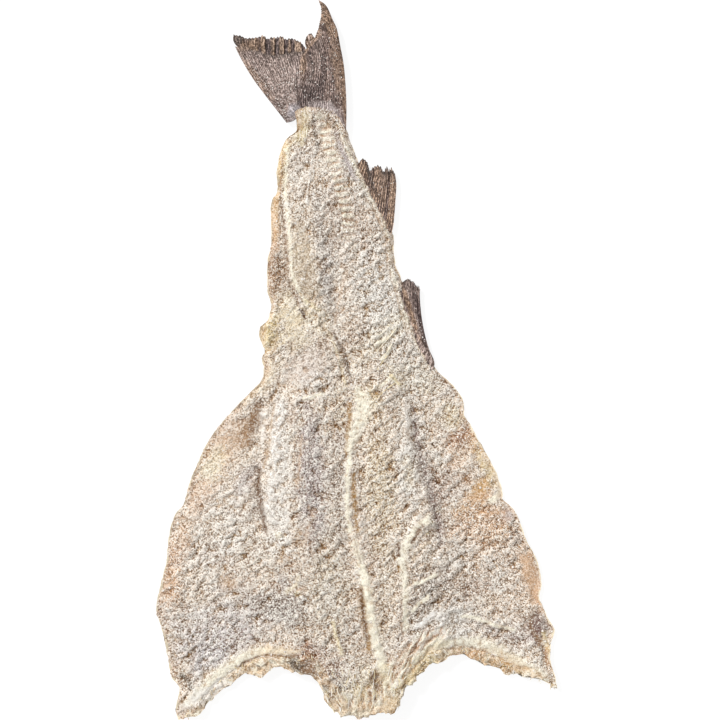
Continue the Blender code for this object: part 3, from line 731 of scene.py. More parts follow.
def lined(x, y, height, tone, calm):
    """Adds the lines' relief, colour and smoothness."""
    for line in LINES:
        near, away, _, share = line.measure(x, y, 2.2 * line.widths.max() + 2)
        lx, ly = x[near], y[near]
        wide = line.half_width(share) * (1 + 0.5 * gradient_noise(lx, ly, 81, 3.5))
        swell = np.exp(-(away / wide) ** (2 * line.crisp)) * faded_ends(share, 0.07)
        swell *= 1 - line.beads * smoothstep(-0.15, 0.45, gradient_noise(lx, ly, 84, 5))
        knobs = lumps(lx, ly, 88, 3.6) + 0.5 * lumps(lx, ly, 89, 1.7)
        height[near] += (line.height + 0.45 * max(line.height, 0) * knobs) * swell
        calm[near] = np.maximum(calm[near], line.calm * swell)
        # On raised lines the knobs' tops are a little paler and the creases between them tan:
        # painted light and shade.
        crease_shade = (0.6 * (line.height > 0) * smoothstep(-0.5, -1.2, knobs))[:, None]
        own_tone = TINTS[line.tint] * (1 + 0.07 * knobs[:, None] - crease_shade * (1 - TINTS["tan"]))
        tone[near] = blend(tone[near], own_tone, line.strength * swell)
    return height, tone, calm


def knobbed(x, y, height, tone):
    wobble = 0.3 * gradient_noise(x, y, 85, 2.5)
    for (cx, cy), radius, rise, tint, strength in KNOBS:
        near = np.nonzero(np.maximum(np.abs(x - cx), np.abs(y - cy)) < 2 * radius)[0]
        away = np.hypot(x[near] - cx, y[near] - cy) / radius + wobble[near]
        round_top = np.sqrt(np.clip(1 - away ** 2, 0, 1))
        height[near] += rise * round_top
        tone[near] = blend(tone[near], tint, strength * smoothstep(0, 0.7, round_top))
    return height, tone


def fibrous(x, y, height, tone, calm):
    """Pale strands with gaps of tint and painted shade, where the flesh was torn or cut across."""
    bend = gradient_noise(x, y, 86, 14)
    for seed, (*oval, fibre_turn, depth, gaps) in enumerate(FIBRES, FIRST_FIBRE_SEED):
        inside = within(x, y, oval, 1.3, 0.7, 0.2 * bend)
        strand = (gradient_noise(*turned(x + 3 * bend, y, fibre_turn, 12, 3.0), seed)
                  + 0.6 * gradient_noise(*turned(x + 3 * bend, y, fibre_turn, 7, 1.4), seed + 10))
        height += depth * inside * np.clip(1.6 * strand, -1, 1)
        tone = blend(tone, "ivory", inside * smoothstep(0.0, 0.3, strand))
        tone = blend(tone, gaps, inside * smoothstep(0.1, -0.3, strand))
        # The deepest parts of the gaps darken to brown: painted shade.
        tone = blend(tone, "brown", 0.9 * inside * smoothstep(-0.2, -0.5, strand))
        calm = np.maximum(calm, 0.7 * inside)
    return height, tone, calm


def stepped(x, y, height):
    for path, drop, reach, seam_way in STEPS:
        near, away, side, share = path.measure(x, y, 3 * reach)
        signed = away * side * seam_way + 2.2 * gradient_noise(x[near], y[near], 82, 5)
        sharp = 2 * smoothstep(-0.8, 0.8, signed) - 1
        height[near] += 0.5 * drop * sharp * np.exp(-(away / reach) ** 2) * faded_ends(share)
    return height


def laddered(x, y, height, tone, calm):
    """The backbone's cut vertebrae in the tail's flesh: pale rungs with painted tan shade between.
    """
    near, away, side, share = VERTEBRAE.measure(x, y, 12)
    run = share * np.linalg.norm(np.diff(VERTEBRAE.line, axis=0), axis=1).sum()
    run = run + 0.8 * gradient_noise(x[near], y[near], 83, 6) - 0.12 * away * side
    rung = 0.5 + 0.5 * np.cos(2 * math.pi * run / VERTEBRA_PITCH)
    bed = smoothstep(1.2, 0.8, away / VERTEBRA_HALF_WIDTH) * smoothstep(1.0, 0.75, share)
    bed = bed * (1 - 0.4 * smoothstep(0.0, 1.0, away * side / VERTEBRA_HALF_WIDTH))
    bed = bed * (0.78 + 0.6 * gradient_noise(x[near], y[near], 87, 3))
    height[near] += 1.3 * bed * (smoothstep(0.1, 0.6, rung) - 0.5)
    tone[near] = blend(tone[near], "ivory", 0.95 * bed * smoothstep(0.35, 0.7, rung))
    # Tan where the bed is low between the rungs: painted shade.
    tone[near] = blend(tone[near], "tan", 0.9 * bed * smoothstep(0.4, 0.1, rung))
    calm[near] = np.maximum(calm[near], 0.75 * bed)
    return height, tone, calm


def sculpt(x, y, base):
    """Relief in mm, colour, and smoothness from 0 to 1, of the flesh at landmark points."""
    height = np.zeros(len(x))
    upper_flap = smoothstep(50, 92, np.abs(x)) * smoothstep(-150, -110, y) * smoothstep(-20, -50, y)
    tail_left = smoothstep(-20, 30, y) * smoothstep(12, -22, x)
    calm = np.maximum(0.18 * upper_flap, 0.1 * tail_left)
    tone = mottled(x, y, np.tile(base, (len(x), 1)))
    tone, calm = stained(x, y, tone, calm, STAINS)
    height, tone, calm = fibrous(x, y, height, tone, calm)
    height, tone, calm = lined(x, y, height, tone, calm)
    height, tone = knobbed(x, y, height, tone)
    height, tone, calm = laddered(x, y, stepped(x, y, height), tone, calm)
    return height, tone, calm


# ---- Meshes ----------------------------------------------------------------------------
def grid_faces(ids):
    """Quads between the neighbours of a grid of points."""
    corners = [ids[:-1, :-1], ids[1:, :-1], ids[1:, 1:], ids[:-1, 1:]]
    return np.stack(corners, axis=-1).reshape(-1, 4)


def closed_shell(name, top, bottom, step=1):
    """Closed mesh between two grids of points in mm, whose columns run towards +X.

    The lower grid keeps one row and column in step, and meets the upper one at the rim.
    """
    rows, columns = top.shape[:2]
    lower = bottom[::step, ::step]
    low_rows, low_columns = lower.shape[:2]
    points = np.vstack([top.reshape(-1, 3), lower.reshape(-1, 3)])
    points[:, :2] -= MIDDLE
    upper_id = np.arange(rows * columns).reshape(rows, columns)
    lower_id = rows * columns + np.arange(low_rows * low_columns).reshape(low_rows, low_columns)
    faces = grid_faces(upper_id).tolist() + grid_faces(lower_id)[:, [0, 3, 2, 1]].tolist()
    walls = []
    sides = [(ids[:, 0], ids[-1], ids[::-1, -1], ids[0, ::-1]) for ids in (upper_id, lower_id)]
    for fine, coarse in zip(*sides):
        for k in range(len(coarse) - 1):
            run = fine[k * step:(k + 1) * step + 1].tolist()
            walls.append(run[::-1] + [int(coarse[k]), int(coarse[k + 1])])
    mesh = bpy.data.meshes.new(name)
    mesh.from_pydata((points * MM).tolist(), [], faces + walls)
    mesh.shade_smooth()
    wall_edges = {tuple(sorted(pair)) for wall in walls for pair in zip(wall, wall[1:] + wall[:1])}
    for edge in mesh.edges:
        if tuple(edge.vertices) in wall_edges or tuple(edge.vertices)[::-1] in wall_edges:
            edge.use_edge_sharp = True
    mesh.validate()
    return mesh


def new_piece(name, mesh, material):
    piece = bpy.data.objects.new(name, mesh)
    bpy.context.scene.collection.objects.link(piece)
    if not mesh.materials:
        mesh.materials.append(material)
    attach(piece, "root")
    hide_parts(NODE)
    return piece


def set_point_values(mesh, name, grid):
    """Puts a grid of numbers, or of colours, on the mesh's first vertices. The rest get 0."""
    values = np.asarray(grid, np.float32).reshape(-1, np.shape(grid)[-1])
    full = np.zeros((len(mesh.vertices), values.shape[1]), np.float32)
    full[:len(values)] = values
    if full.shape[1] == 1:
        mesh.attributes.new(name, "FLOAT", "POINT").data.foreach_set("value", full.ravel())
    else:
        colours = np.column_stack([full, np.ones(len(full), np.float32)])
        mesh.attributes.new(name, "FLOAT_COLOR", "POINT").data.foreach_set("color", colours.ravel())


BUMP_STRENGTH = 0.8


def new_material(name):
    """A material with an empty tree but for its shader and output."""
    material = bpy.data.materials.new(name)
    material.use_nodes = True
    return material, material.node_tree, material.node_tree.nodes["Principled BSDF"]


def add_node(tree, kind, **values):
    """Adds a node; values are its attributes, or its inputs where they start with in_."""
    node = tree.nodes.new(kind)
    for key, value in values.items():
        if key.startswith("in_"):
            node.inputs[int(key[3:]) if key[3:].isdigit() else key[3:]].default_value = value
        else:
            setattr(node, key, value)
    return node


def connect(tree, *links):
    for out_socket, in_socket in links:
        tree.links.new(out_socket, in_socket)


def mix_colour(tree, factor, first, second, blend="MIX"):
    """A colour mix; factor, first and second are sockets or values. Returns the result socket."""
    node = add_node(tree, "ShaderNodeMix", data_type="RGBA", blend_type=blend)
    for place, value in ((0, factor), (6, first), (7, second)):
        socket = node.inputs[place]
        if isinstance(value, bpy.types.NodeSocket):
            tree.links.new(value, socket)
        else:
            socket.default_value = value if isinstance(value, (int, float)) else (*value[:3], 1)
    return node.outputs[2]


def darkened(tree, share, colour, times):
    """The colour, multiplied where the share says so."""
    return mix_colour(tree, share, colour, mix_colour(tree, 1.0, colour, times, "MULTIPLY"))


def map_range(tree, value, low, high, to_low=0.0, to_high=1.0):
    node = add_node(tree, "ShaderNodeMapRange", in_1=low, in_2=high, in_3=to_low, in_4=to_high)
    tree.links.new(value, node.inputs[0])
    return node.outputs[0]


def limit(tree, value, *shares):
    """Lets a socket say how far the map ranges behind the shares go."""
    for share in shares:
        tree.links.new(value, share.node.inputs[4])


def point_values(tree, **outputs):
    """The values that the vertices carry, as sockets in the order asked for."""
    return [add_node(tree, "ShaderNodeAttribute", attribute_name=name).outputs[out]
            for name, out in outputs.items()]


def noise_texture(tree, coordinates, grain, detail=2.0, roughness=0.5, stretch=(1, 1, 1)):
    """Noise whose grains are about that many mm across, or longer where its stretch is small."""
    mapping = add_node(tree, "ShaderNodeMapping", in_Scale=stretch)
    noise = add_node(tree, "ShaderNodeTexNoise", in_Scale=1 / (grain * MM), in_Detail=detail,
                     in_Roughness=roughness)
    connect(tree, (coordinates, mapping.inputs[0]), (mapping.outputs[0], noise.inputs["Vector"]))
    return noise.outputs["Fac"]


def grain_texture(tree, coordinates, grain):
    """Closely packed grains: a random number for each, and how near its edge a point is."""
    cells_node = add_node(tree, "ShaderNodeTexVoronoi", in_Scale=1 / (grain * MM))
    connect(tree, (coordinates, cells_node.inputs["Vector"]))
    split = add_node(tree, "ShaderNodeSeparateColor")
    connect(tree, (cells_node.outputs["Color"], split.inputs[0]))
    return {"random": split.outputs[0], "edge": cells_node.outputs["Distance"]}


def weighted_sum(tree, *terms):
    """The sum of sockets, each times its own weight."""
    total = None
    for socket, weight in terms:
        node = add_node(tree, "ShaderNodeMath", operation="MULTIPLY_ADD", in_1=weight, in_2=0.0)
        tree.links.new(socket, node.inputs[0])
        if total is not None:
            tree.links.new(total, node.inputs[2])
        total = node.outputs[0]
    return total


def finish_surface(tree, shader, colour, height, depth, roughness):
    """Gives the shader its colour, its relief of about that many mm, and its roughness."""
    bump = add_node(tree, "ShaderNodeBump", in_Strength=BUMP_STRENGTH, in_Distance=depth * MM)
    connect(tree, (height, bump.inputs["Height"]), (colour, shader.inputs["Base Color"]),
            (bump.outputs["Normal"], shader.inputs["Normal"]))
    shader.inputs["Roughness"].default_value = roughness


def crusted_material(name, grain, pit_colour, hollow_brown_and_shade, salt_colour, contrast=1.0, depth=0.8,
                     roughness=0.8):
    """Close salt grains over each vertex's tone, with pits and hollows of brown and painted shade.

    The vertices' crust and calm say how high a place is, and how smooth.
    """
    material, tree, shader = new_material(name)
    where = add_node(tree, "ShaderNodeTexCoord").outputs["Object"]
    tone, crust, calm = point_values(tree, tone="Color", crust="Fac", calm="Fac")
    bits = grain_texture(tree, where, grain)
    speck = noise_texture(tree, where, 1.3 * grain, 3.0, 0.7)
    level = weighted_sum(tree, (bits["random"], 0.66), (bits["edge"], -0.35), (speck, 0.75),
                         (crust, 0.25))
    rough = map_range(tree, calm, 0, 1, contrast, 0.25 * contrast)
    # The low places between the grains darken to brown: browner flesh and painted shade.
    pit_brown_and_shade, peak = map_range(tree, level, 0.66, 0.39), map_range(tree, level, 0.66, 0.93)
    limit(tree, rough, pit_brown_and_shade, peak)
    # The crust's low places darken to golden brown: browner flesh and painted shade.
    hollow, crest = map_range(tree, crust, 0.46, 0.08), map_range(tree, crust, 0.6, 1.0, 0.0, 0.55)
    colour = darkened(tree, hollow, tone, hollow_brown_and_shade)
    colour = mix_colour(tree, crest, colour, mix_colour(tree, 0.6, tone, salt_colour))
    colour = darkened(tree, pit_brown_and_shade, colour, pit_colour)
    colour = mix_colour(tree, peak, colour, mix_colour(tree, 0.85, colour, salt_colour))
    finish_surface(tree, shader, colour, level, depth, roughness)
    shader.inputs["Specular IOR Level"].default_value = 0.3
    return material


def finned_material(name, grain, dark_colour, salt_colour):
    """Dry membrane over rays: fine streaks that follow the rays, with small salt on them.

    The vertices' ray_place is their place along and across the rays.
    """
    material, tree, shader = new_material(name)
    where = add_node(tree, "ShaderNodeTexCoord").outputs["Object"]
    rays, tone, crust, salty, smooth = point_values(
        tree, ray_place="Vector", tone="Color", crust="Fac", salt="Fac", calm="Fac")
    streak = noise_texture(tree, rays, 0.75, 2.0, 0.6, stretch=(0.07, 1, 1))
    band = noise_texture(tree, rays, 2.6, 2.0, 0.5, stretch=(0.05, 1, 1))
    bits = grain_texture(tree, where, grain)
    speck = noise_texture(tree, rays, 1.0 * grain, 3.0, 0.75, stretch=(0.35, 1, 1))
    broken = noise_texture(tree, rays, 0.8, 2.0, 0.6, stretch=(0.3, 1, 1))
    level = weighted_sum(tree, (streak, 0.9), (broken, 0.9), (bits["random"], 0.2), (speck, 0.5),
                         (crust, 0.3))
    dark, pale = map_range(tree, level, 1.43, 1.28), map_range(tree, level, 1.42, 1.58)
    grains = weighted_sum(tree, (bits["random"], 0.7), (speck, 0.9), (salty, 0.3))
    salted = map_range(tree, grains, 1.22, 1.34)
    limit(tree, map_range(tree, smooth, 0, 1, 1.0, 0.2), dark, pale, salted)
    colour = darkened(tree, map_range(tree, band, 0.5, 0.3, 0.0, 0.6), tone, dark_colour)
    colour = darkened(tree, dark, colour, dark_colour)
    bright = mix_colour(tree, 1.0, tone, (2.3, 2.3, 2.3), "MULTIPLY")
    bright = mix_colour(tree, 0.22, bright, salt_colour)
    colour = mix_colour(tree, pale, colour, bright)
    colour = mix_colour(tree, salted, colour, mix_colour(tree, 0.75, colour, salt_colour))
    finish_surface(tree, shader, colour, level, 0.5, 0.55)
    return material


# ---- Geometry Nodes --------------------------------------------------------------------
def new_tree(name, **inputs):
    """A geometry tree that takes and gives geometry, with a named input for each size."""
    tree = bpy.data.node_groups.new(name, "GeometryNodeTree")
    tree.interface.new_socket("Geometry", in_out="INPUT", socket_type="NodeSocketGeometry")
    for label, (kind, default) in inputs.items():
        socket = tree.interface.new_socket(label.replace("_", " "), in_out="INPUT",
                                           socket_type="NodeSocket" + kind)
        if default is not None:
            socket.default_value = default
    tree.interface.new_socket("Geometry", in_out="OUTPUT", socket_type="NodeSocketGeometry")
    return tree, tree.nodes.new("NodeGroupInput").outputs, tree.nodes.new("NodeGroupOutput").inputs


def grown(tree, base, **values):
    """A plain mesh of what the tree makes from the base mesh, with its inputs set by name."""
    holder = bpy.data.objects.new("base", base)
    bpy.context.scene.collection.objects.link(holder)
    modifier = holder.modifiers.new("nodes", "NODES")
    modifier.node_group = tree
    for item in tree.interface.items_tree:
        key = item.name.replace(" ", "_")
        if item.in_out == "INPUT" and key in values:
            modifier[item.identifier] = values[key]
    graph = bpy.context.evaluated_depsgraph_get()
    mesh = bpy.data.meshes.new_from_object(holder.evaluated_get(graph), depsgraph=graph)
    holder.modifiers.remove(modifier)
    bpy.data.objects.remove(holder)
    return mesh


def attribute_in_tree(tree, name):
    node = add_node(tree, "GeometryNodeInputNamedAttribute", data_type="FLOAT", in_Name=name)
    return node.outputs["Attribute"]


def lumpy_strands_tree():
    """Edges become closed tubes as thick as their points say, flattened and lumpy."""
    tree, given, result = new_tree(
        "lumpy strands", Material=("Material", None), Sides=("Int", 8), Flatness=("Float", 1.0),
        Lump_Size=("Float", 4 * MM), Lump_Height=("Float", 0.3 * MM))
    curve = add_node(tree, "GeometryNodeMeshToCurve")
    ring = add_node(tree, "GeometryNodeCurvePrimitiveCircle", in_Radius=1.0)
    tube = add_node(tree, "GeometryNodeCurveToMesh")
    tube.inputs["Fill Caps"].default_value = True
    connect(tree, (given["Geometry"], curve.inputs[0]), (given["Sides"], ring.inputs["Resolution"]),
            (curve.outputs[0], tube.inputs["Curve"]),
            (ring.outputs[0], tube.inputs["Profile Curve"]),
            (attribute_in_tree(tree, "thickness"), tube.inputs["Scale"]))
    place = add_node(tree, "GeometryNodeInputPosition").outputs[0]
    split = add_node(tree, "ShaderNodeSeparateXYZ")
    spine = attribute_in_tree(tree, "spine_height")
    above = add_node(tree, "ShaderNodeMath", operation="SUBTRACT")
    squashed = add_node(tree, "ShaderNodeMath", operation="MULTIPLY_ADD")
    joined = add_node(tree, "ShaderNodeCombineXYZ")
    flat = add_node(tree, "GeometryNodeSetPosition")
    connect(tree, (place, split.inputs[0]), (split.outputs[2], above.inputs[0]),
            (spine, above.inputs[1]),
            (above.outputs[0], squashed.inputs[0]), (given["Flatness"], squashed.inputs[1]),
            (spine, squashed.inputs[2]), (split.outputs[0], joined.inputs[0]),
            (split.outputs[1], joined.inputs[1]), (squashed.outputs[0], joined.inputs[2]),
            (tube.outputs[0], flat.inputs["Geometry"]),
            (joined.outputs[0], flat.inputs["Position"]))
    scale = add_node(tree, "ShaderNodeMath", operation="DIVIDE", in_0=1.0)
    noise = add_node(tree, "ShaderNodeTexNoise", in_Detail=3.0, in_Roughness=0.65)
    centred = add_node(tree, "ShaderNodeMath", operation="SUBTRACT", in_1=0.5)
    height = add_node(tree, "ShaderNodeMath", operation="MULTIPLY")
    push = add_node(tree, "ShaderNodeVectorMath", operation="SCALE")
    lumpy = add_node(tree, "GeometryNodeSetPosition")
    connect(tree, (given["Lump Size"], scale.inputs[1]), (scale.outputs[0], noise.inputs["Scale"]),
            (noise.outputs[0], centred.inputs[0]), (centred.outputs[0], height.inputs[0]),
            (given["Lump Height"], height.inputs[1]), (height.outputs[0], push.inputs["Scale"]),
            (add_node(tree, "GeometryNodeInputNormal").outputs[0], push.inputs[0]),
            (flat.outputs[0], lumpy.inputs["Geometry"]), (push.outputs[0], lumpy.inputs["Offset"]))
    end_tree(tree, lumpy.outputs[0], given, result)
    return tree


def scattered_grains_tree():
    """Broken crystals over the faces, as close as the points' salt value says."""
    tree, given, result = new_tree(
        "scattered grains", Material=("Material", None), Density=("Float", 1.0), Seed=("Int", 1),
        Smallest=("Float", 0.6 * MM), Largest=("Float", 1.4 * MM), Unevenness=("Float", 0.25))
    amount = add_node(tree, "ShaderNodeMath", operation="MULTIPLY")
    points = add_node(tree, "GeometryNodeDistributePointsOnFaces")
    crystal = add_node(tree, "GeometryNodeMeshCube", in_Size=(1, 1, 1))
    turn = add_node(tree, "FunctionNodeRandomValue", data_type="FLOAT_VECTOR")
    turn.inputs[1].default_value = (2 * math.pi,) * 3
    size = add_node(tree, "FunctionNodeRandomValue", data_type="FLOAT_VECTOR")
    placed = add_node(tree, "GeometryNodeInstanceOnPoints")
    single = add_node(tree, "GeometryNodeRealizeInstances")
    jitter = add_node(tree, "FunctionNodeRandomValue", data_type="FLOAT_VECTOR")
    jitter.inputs[0].default_value = (-1, -1, -1)
    reach = add_node(tree, "ShaderNodeMath", operation="MULTIPLY")
    push = add_node(tree, "ShaderNodeVectorMath", operation="SCALE")
    broken = add_node(tree, "GeometryNodeSetPosition")
    connect(tree, (attribute_in_tree(tree, "salt"), amount.inputs[0]),
            (given["Density"], amount.inputs[1]), (given["Geometry"], points.inputs["Mesh"]),
            (amount.outputs[0], points.inputs["Density"]),
            *((given["Seed"], node.inputs["Seed"]) for node in (points, turn, size, jitter)),
            (given["Smallest"], size.inputs[0]), (given["Largest"], size.inputs[1]),
            (points.outputs["Points"], placed.inputs["Points"]),
            (crystal.outputs[0], placed.inputs["Instance"]),
            (turn.outputs[0], placed.inputs["Rotation"]), (size.outputs[0], placed.inputs["Scale"]),
            (placed.outputs[0], single.inputs[0]), (given["Largest"], reach.inputs[0]),
            (given["Unevenness"], reach.inputs[1]), (jitter.outputs[0], push.inputs[0]),
            (reach.outputs[0], push.inputs["Scale"]),
            (single.outputs[0], broken.inputs["Geometry"]),
            (push.outputs[0], broken.inputs["Offset"]))
    end_tree(tree, broken.outputs[0], given, result)
    return tree


def end_tree(tree, geometry, given, result):
    """Every tree ends in real geometry with its material on it."""
    single = add_node(tree, "GeometryNodeRealizeInstances")
    finish = add_node(tree, "GeometryNodeSetMaterial")
    connect(tree, (geometry, single.inputs[0]), (single.outputs[0], finish.inputs["Geometry"]),
            (given["Material"], finish.inputs["Material"]), (finish.outputs[0], result["Geometry"]))


# ---- Strands ---------------------------------------------------------------------------
class Ground:
    """Reads the height of finished pieces from above."""

    def __init__(self, *names):
        self.trees = [face_tree(bpy.data.objects[name].data) for name in names]

    def height(self, x, y):
        """Height in mm at a landmark point, or None past the edge."""
        above = Vector(((x - MIDDLE[0]) * MM, (y - MIDDLE[1]) * MM,
                        GROUND_RAY_START))
        hits = [tree.ray_cast(above, Vector((0, 0, -1)))[0] for tree in self.trees]
        heights = [hit.z / MM for hit in hits if hit is not None]
        return max(heights) if heights else None


def strand_mesh(strands):
    """Edges for the strand tree. A strand is (points in mm with their half width, colour)."""
    points, edges, thickness, tones = [], [], [], []
    for line, tone in strands:
        first = len(points)
        points += [(x - MIDDLE[0], y - MIDDLE[1], z) for x, y, z, _ in line]
        edges += [(k, k + 1) for k in range(first, len(points) - 1)]
        thickness += [half_width * MM for *_, half_width in line]
        tones += [tone] * len(line)
    mesh = bpy.data.meshes.new("strands")
    mesh.from_pydata((np.array(points) * MM).tolist(), edges, [])
    heights = np.array(points)[:, 2:] * MM
    for name, values in (("thickness", np.array(thickness)[:, None]), ("spine_height", heights),
                         ("crust", np.full((len(points), 1), 0.55)), ("tone", np.array(tones))):
        set_point_values(mesh, name, values)
    return mesh


STRAND_SPACING = 1.2    # mm between a strand's points
STRAND_ENDS = 0.35    # width of a strand's ends as a share of its own


def laid_strand(ground, landmarks, half_widths, lift):
    """A strand that lies on the ground: (x, y) landmarks, and half widths spread along it."""
    plan = np.array(landmarks, float)
    length = np.linalg.norm(np.diff(plan, axis=0), axis=1).sum()
    count = max(4, int(length / STRAND_SPACING))
    path = smooth_curve(plan, count)
    share = np.linspace(0, 1, count)
    wide = np.interp(share, np.linspace(0, 1, len(half_widths)), half_widths)
    wide = wide * (STRAND_ENDS + (1 - STRAND_ENDS) * faded_ends(share, 0.08))
    heights = [ground.height(x, y) for x, y in path]
    known = [k for k, h in enumerate(heights) if h is not None]
    if not known:
        return None
    heights = np.interp(range(count), known, [heights[k] for k in known])
    heights = np.convolve(np.pad(heights, 2, "edge"), np.full(5, 0.2), "valid") + lift
    return [(x, y, z, w) for (x, y), z, w in zip(path, heights, wide)]


# ---- Flesh -----------------------------------------------------------------------------
def collar_ledge(x, y):
    """Share of each point that lies on the thin ragged ledge outside the collar's bands."""
    ledge = np.zeros(len(x))
    for landmarks in (LEFT_BAND, RIGHT_BAND):
        near, away, _, share = Path(landmarks).measure(x, y, 40)
        ordered = np.array(sorted(landmarks), float)
        outside = y[near] < np.interp(x[near], ordered[:, 0], ordered[:, 1])
        drop = outside * smoothstep(5.0, 7.5, away) * faded_ends(share, 0.03)
        ledge[near] = np.maximum(ledge[near], drop)
    return ledge


def held_up(body, ends_inset, y, reach):
    """The body's height, with the cut across the neck and collar kept steep instead of rounded."""
    grid = body.reshape(ends_inset.shape)
    held = np.array([np.interp(reach, distances[::-1], heights[::-1])
                     for distances, heights in zip(ends_inset.T, grid.T)])
    cut = smoothstep(reach, 0.4 * reach, ends_inset) * (y.reshape(grid.shape) < CUT_STARTS)
    return (grid + cut * np.maximum(held - CUT_DROOP - grid, 0)).ravel()


LEAST_FLESH, LEAST_RISE = 0.5, 0.4    # mm of flesh that stay over the skin where it is thinnest
RIM_FADES, TAIL_ROOT = (196, 207), (204, 215)    # where the flesh runs on into the tail fin


def make_flesh(side, tree, settings, material):
    rows, columns = settings.rows, settings.columns
    upper, under = (solid_surface(tree, side, rows, columns, way).ravel() for way in (1, -1))
    xy = half_grid(side, rows, columns)
    inset = edge_distance(xy).ravel()
    ends_inset = distance(xy, xy[-1:])
    flat = xy.reshape(-1, 2)
    x, y = flat[:, 0], flat[:, 1]
    height, tone, calm = sculpt(x, y, np.array(settings.flesh_colour))
    crust = crust_relief(x, y)
    ledge = collar_ledge(x, y)
    torn = np.maximum(ledge, smoothstep(9, 4, ends_inset.ravel()) * (y < CUT_STARTS))
    low = under + settings.skin
    body = upper - settings.margin + height * smoothstep(0, 3, inset)
    body += settings.ledge_rise * ledge
    body = held_up(body, ends_inset, y, settings.cut_reach)
    rim = np.sqrt(1 - (1 - np.clip(inset / settings.rim_rounding, 0, 1)) ** 2)
    rim = np.maximum(rim, np.maximum(0.85 * torn, smoothstep(*RIM_FADES, y)))
    base = low + LEAST_FLESH
    z = base + np.maximum(body - low - LEAST_FLESH, LEAST_RISE) * (0.3 + 0.7 * rim)
    z += crust * settings.crust_height * (1 - 0.85 * calm) * (0.35 + 0.65 * smoothstep(0, 7, inset))
    z += 0.9 * smoothstep(*TAIL_ROOT, y) * (settings.root_height - z)
    z = np.clip(z, low + LEAST_RISE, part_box(NODE)[1].z / MM - settings.margin)
    wander = [1.2 * gradient_noise(x, y, seed, 5) + 0.55 * gradient_noise(x, y, seed + 1, 2.2)
              for seed in (91, 93)]
    flat = flat + (settings.raggedness * (1 + 2.0 * torn))[:, None] * np.column_stack(wander)
    rind = smoothstep(9, 0.5, inset + 5 * gradient_noise(x, y, 95, 8))
    tone = blend(tone, "peach", 0.45 * rind * (1 - ledge))
    tatter = gradient_noise(x, y, 97, 6) + 0.6 * gradient_noise(x, y, 98, 2.5)
    for share, tint in ((0.5 * torn, "ledge"), (0.9 * ledge, "ledge"),
                        (0.9 * torn * smoothstep(0.0, 0.5, tatter), "ivory"),
                        (0.85 * torn * smoothstep(-0.1, -0.6, tatter), "amber")):
        tone = blend(tone, tint, share)
    calm = np.maximum(calm, 0.5 * ledge)
    tone, calm = stained(x, y, tone, calm, EDGE_STAINS)
    salt = (1 - 0.8 * calm) * smoothstep(1.5, 6, inset) * (1 - 0.9 * ledge)
    salt *= smoothstep(-1.1, 0.5, gradient_noise(x, y, 96, 17) + 0.5 * crust)
    crust = np.clip(0.5 + 0.5 * crust * (1 - 0.9 * calm) + 0.1 * calm, 0, 1)
    points = {"crust": crust, "calm": calm, "salt": salt, "tone": tone}
    grids = {"top": np.column_stack([flat, z]), "bottom": np.column_stack([flat, low]), **points}
    shape = (rows + 1, columns + 1)
    grids = {name: grid.reshape(*shape, -1) for name, grid in grids.items()}
    if side == "left":
        grids = {name: grid[:, ::-1] for name, grid in grids.items()}
    mesh = closed_shell(side + "_flesh", grids["top"], grids["bottom"], settings.under_step)
    for name in points:
        set_point_values(mesh, name, grids[name])
    return new_piece(side + "_flesh", mesh, material)


class FleshSettings(bpy.types.PropertyGroup):
    rows: bpy.props.IntProperty(
        name="Rows", description="Cells along the fish, a multiple of the under step",
        default=618, min=60)
    columns: bpy.props.IntProperty(
        name="Columns",
        description="Cells from the seam to each side, a multiple of the under step",
        default=156, min=12)
    under_step: bpy.props.IntProperty(
        name="Under Step", description="Fine cells to each cell of the hidden underside",
        default=6, min=1)
    crust_height: bpy.props.FloatProperty(
        name="Crust Height", description="How deep the salted surface is, in mm",
        default=2.25, min=0)
    skin: bpy.props.FloatProperty(
        name="Skin", description="Thickness of the skin under the flesh, in mm",
        default=0.9, min=0.1)
    margin: bpy.props.FloatProperty(
        name="Margin", description="How far below the solid the flesh starts, in mm",
        default=1.0, min=0)
    ledge_rise: bpy.props.FloatProperty(
        name="Ledge Rise", description="How far the ragged ledge at the collar is raised, in mm",
        default=2.0, min=0)
    cut_reach: bpy.props.FloatProperty(
        name="Cut Reach",
        description="How far the steep cut edge reaches back into the flesh, in mm",
        default=10.0, min=0.5)
    root_height: bpy.props.FloatProperty(
        name="Root Height", description="How high the flesh ends on the tail fin's root, in mm",
        default=8.6, min=0)
    rim_rounding: bpy.props.FloatProperty(
        name="Rim Rounding", description="How far in the edge has reached full height, in mm",
        default=2.6, min=0.1)
    raggedness: bpy.props.FloatProperty(
        name="Raggedness", description="How far the edge wanders, in mm", default=0.7, min=0)
    flesh_colour: bpy.props.FloatVectorProperty(
        name="Flesh", description="Dried flesh between stains",
        subtype="COLOR", size=3, min=0, max=1,
        default=tuple(linear(244, 228, 210)))
    grain: bpy.props.FloatProperty(
        name="Grain", description="How wide the bits of salt and flesh are, in mm",
        default=0.92, min=0.1)
    # Browner flesh and painted shade between the grains
    pit_colour: bpy.props.FloatVectorProperty(
        name="Pits", description="Multiplies the colour between the grains",
        subtype="COLOR", size=3,
        min=0, max=1, default=(0.235, 0.165, 0.105))
    # Browner flesh and painted shade down in the crust
    hollow_brown_and_shade: bpy.props.FloatVectorProperty(
        name="Hollows", description="Multiplies the colour down in the crust",
        subtype="COLOR", size=3,
        min=0, max=1, default=(0.66, 0.48, 0.28))
    salt_colour: bpy.props.FloatVectorProperty(
        name="Salted Peaks", description="Crust where salt has dried on it",
        subtype="COLOR", size=3,
        min=0, max=1, default=tuple(linear(252, 248, 238)))


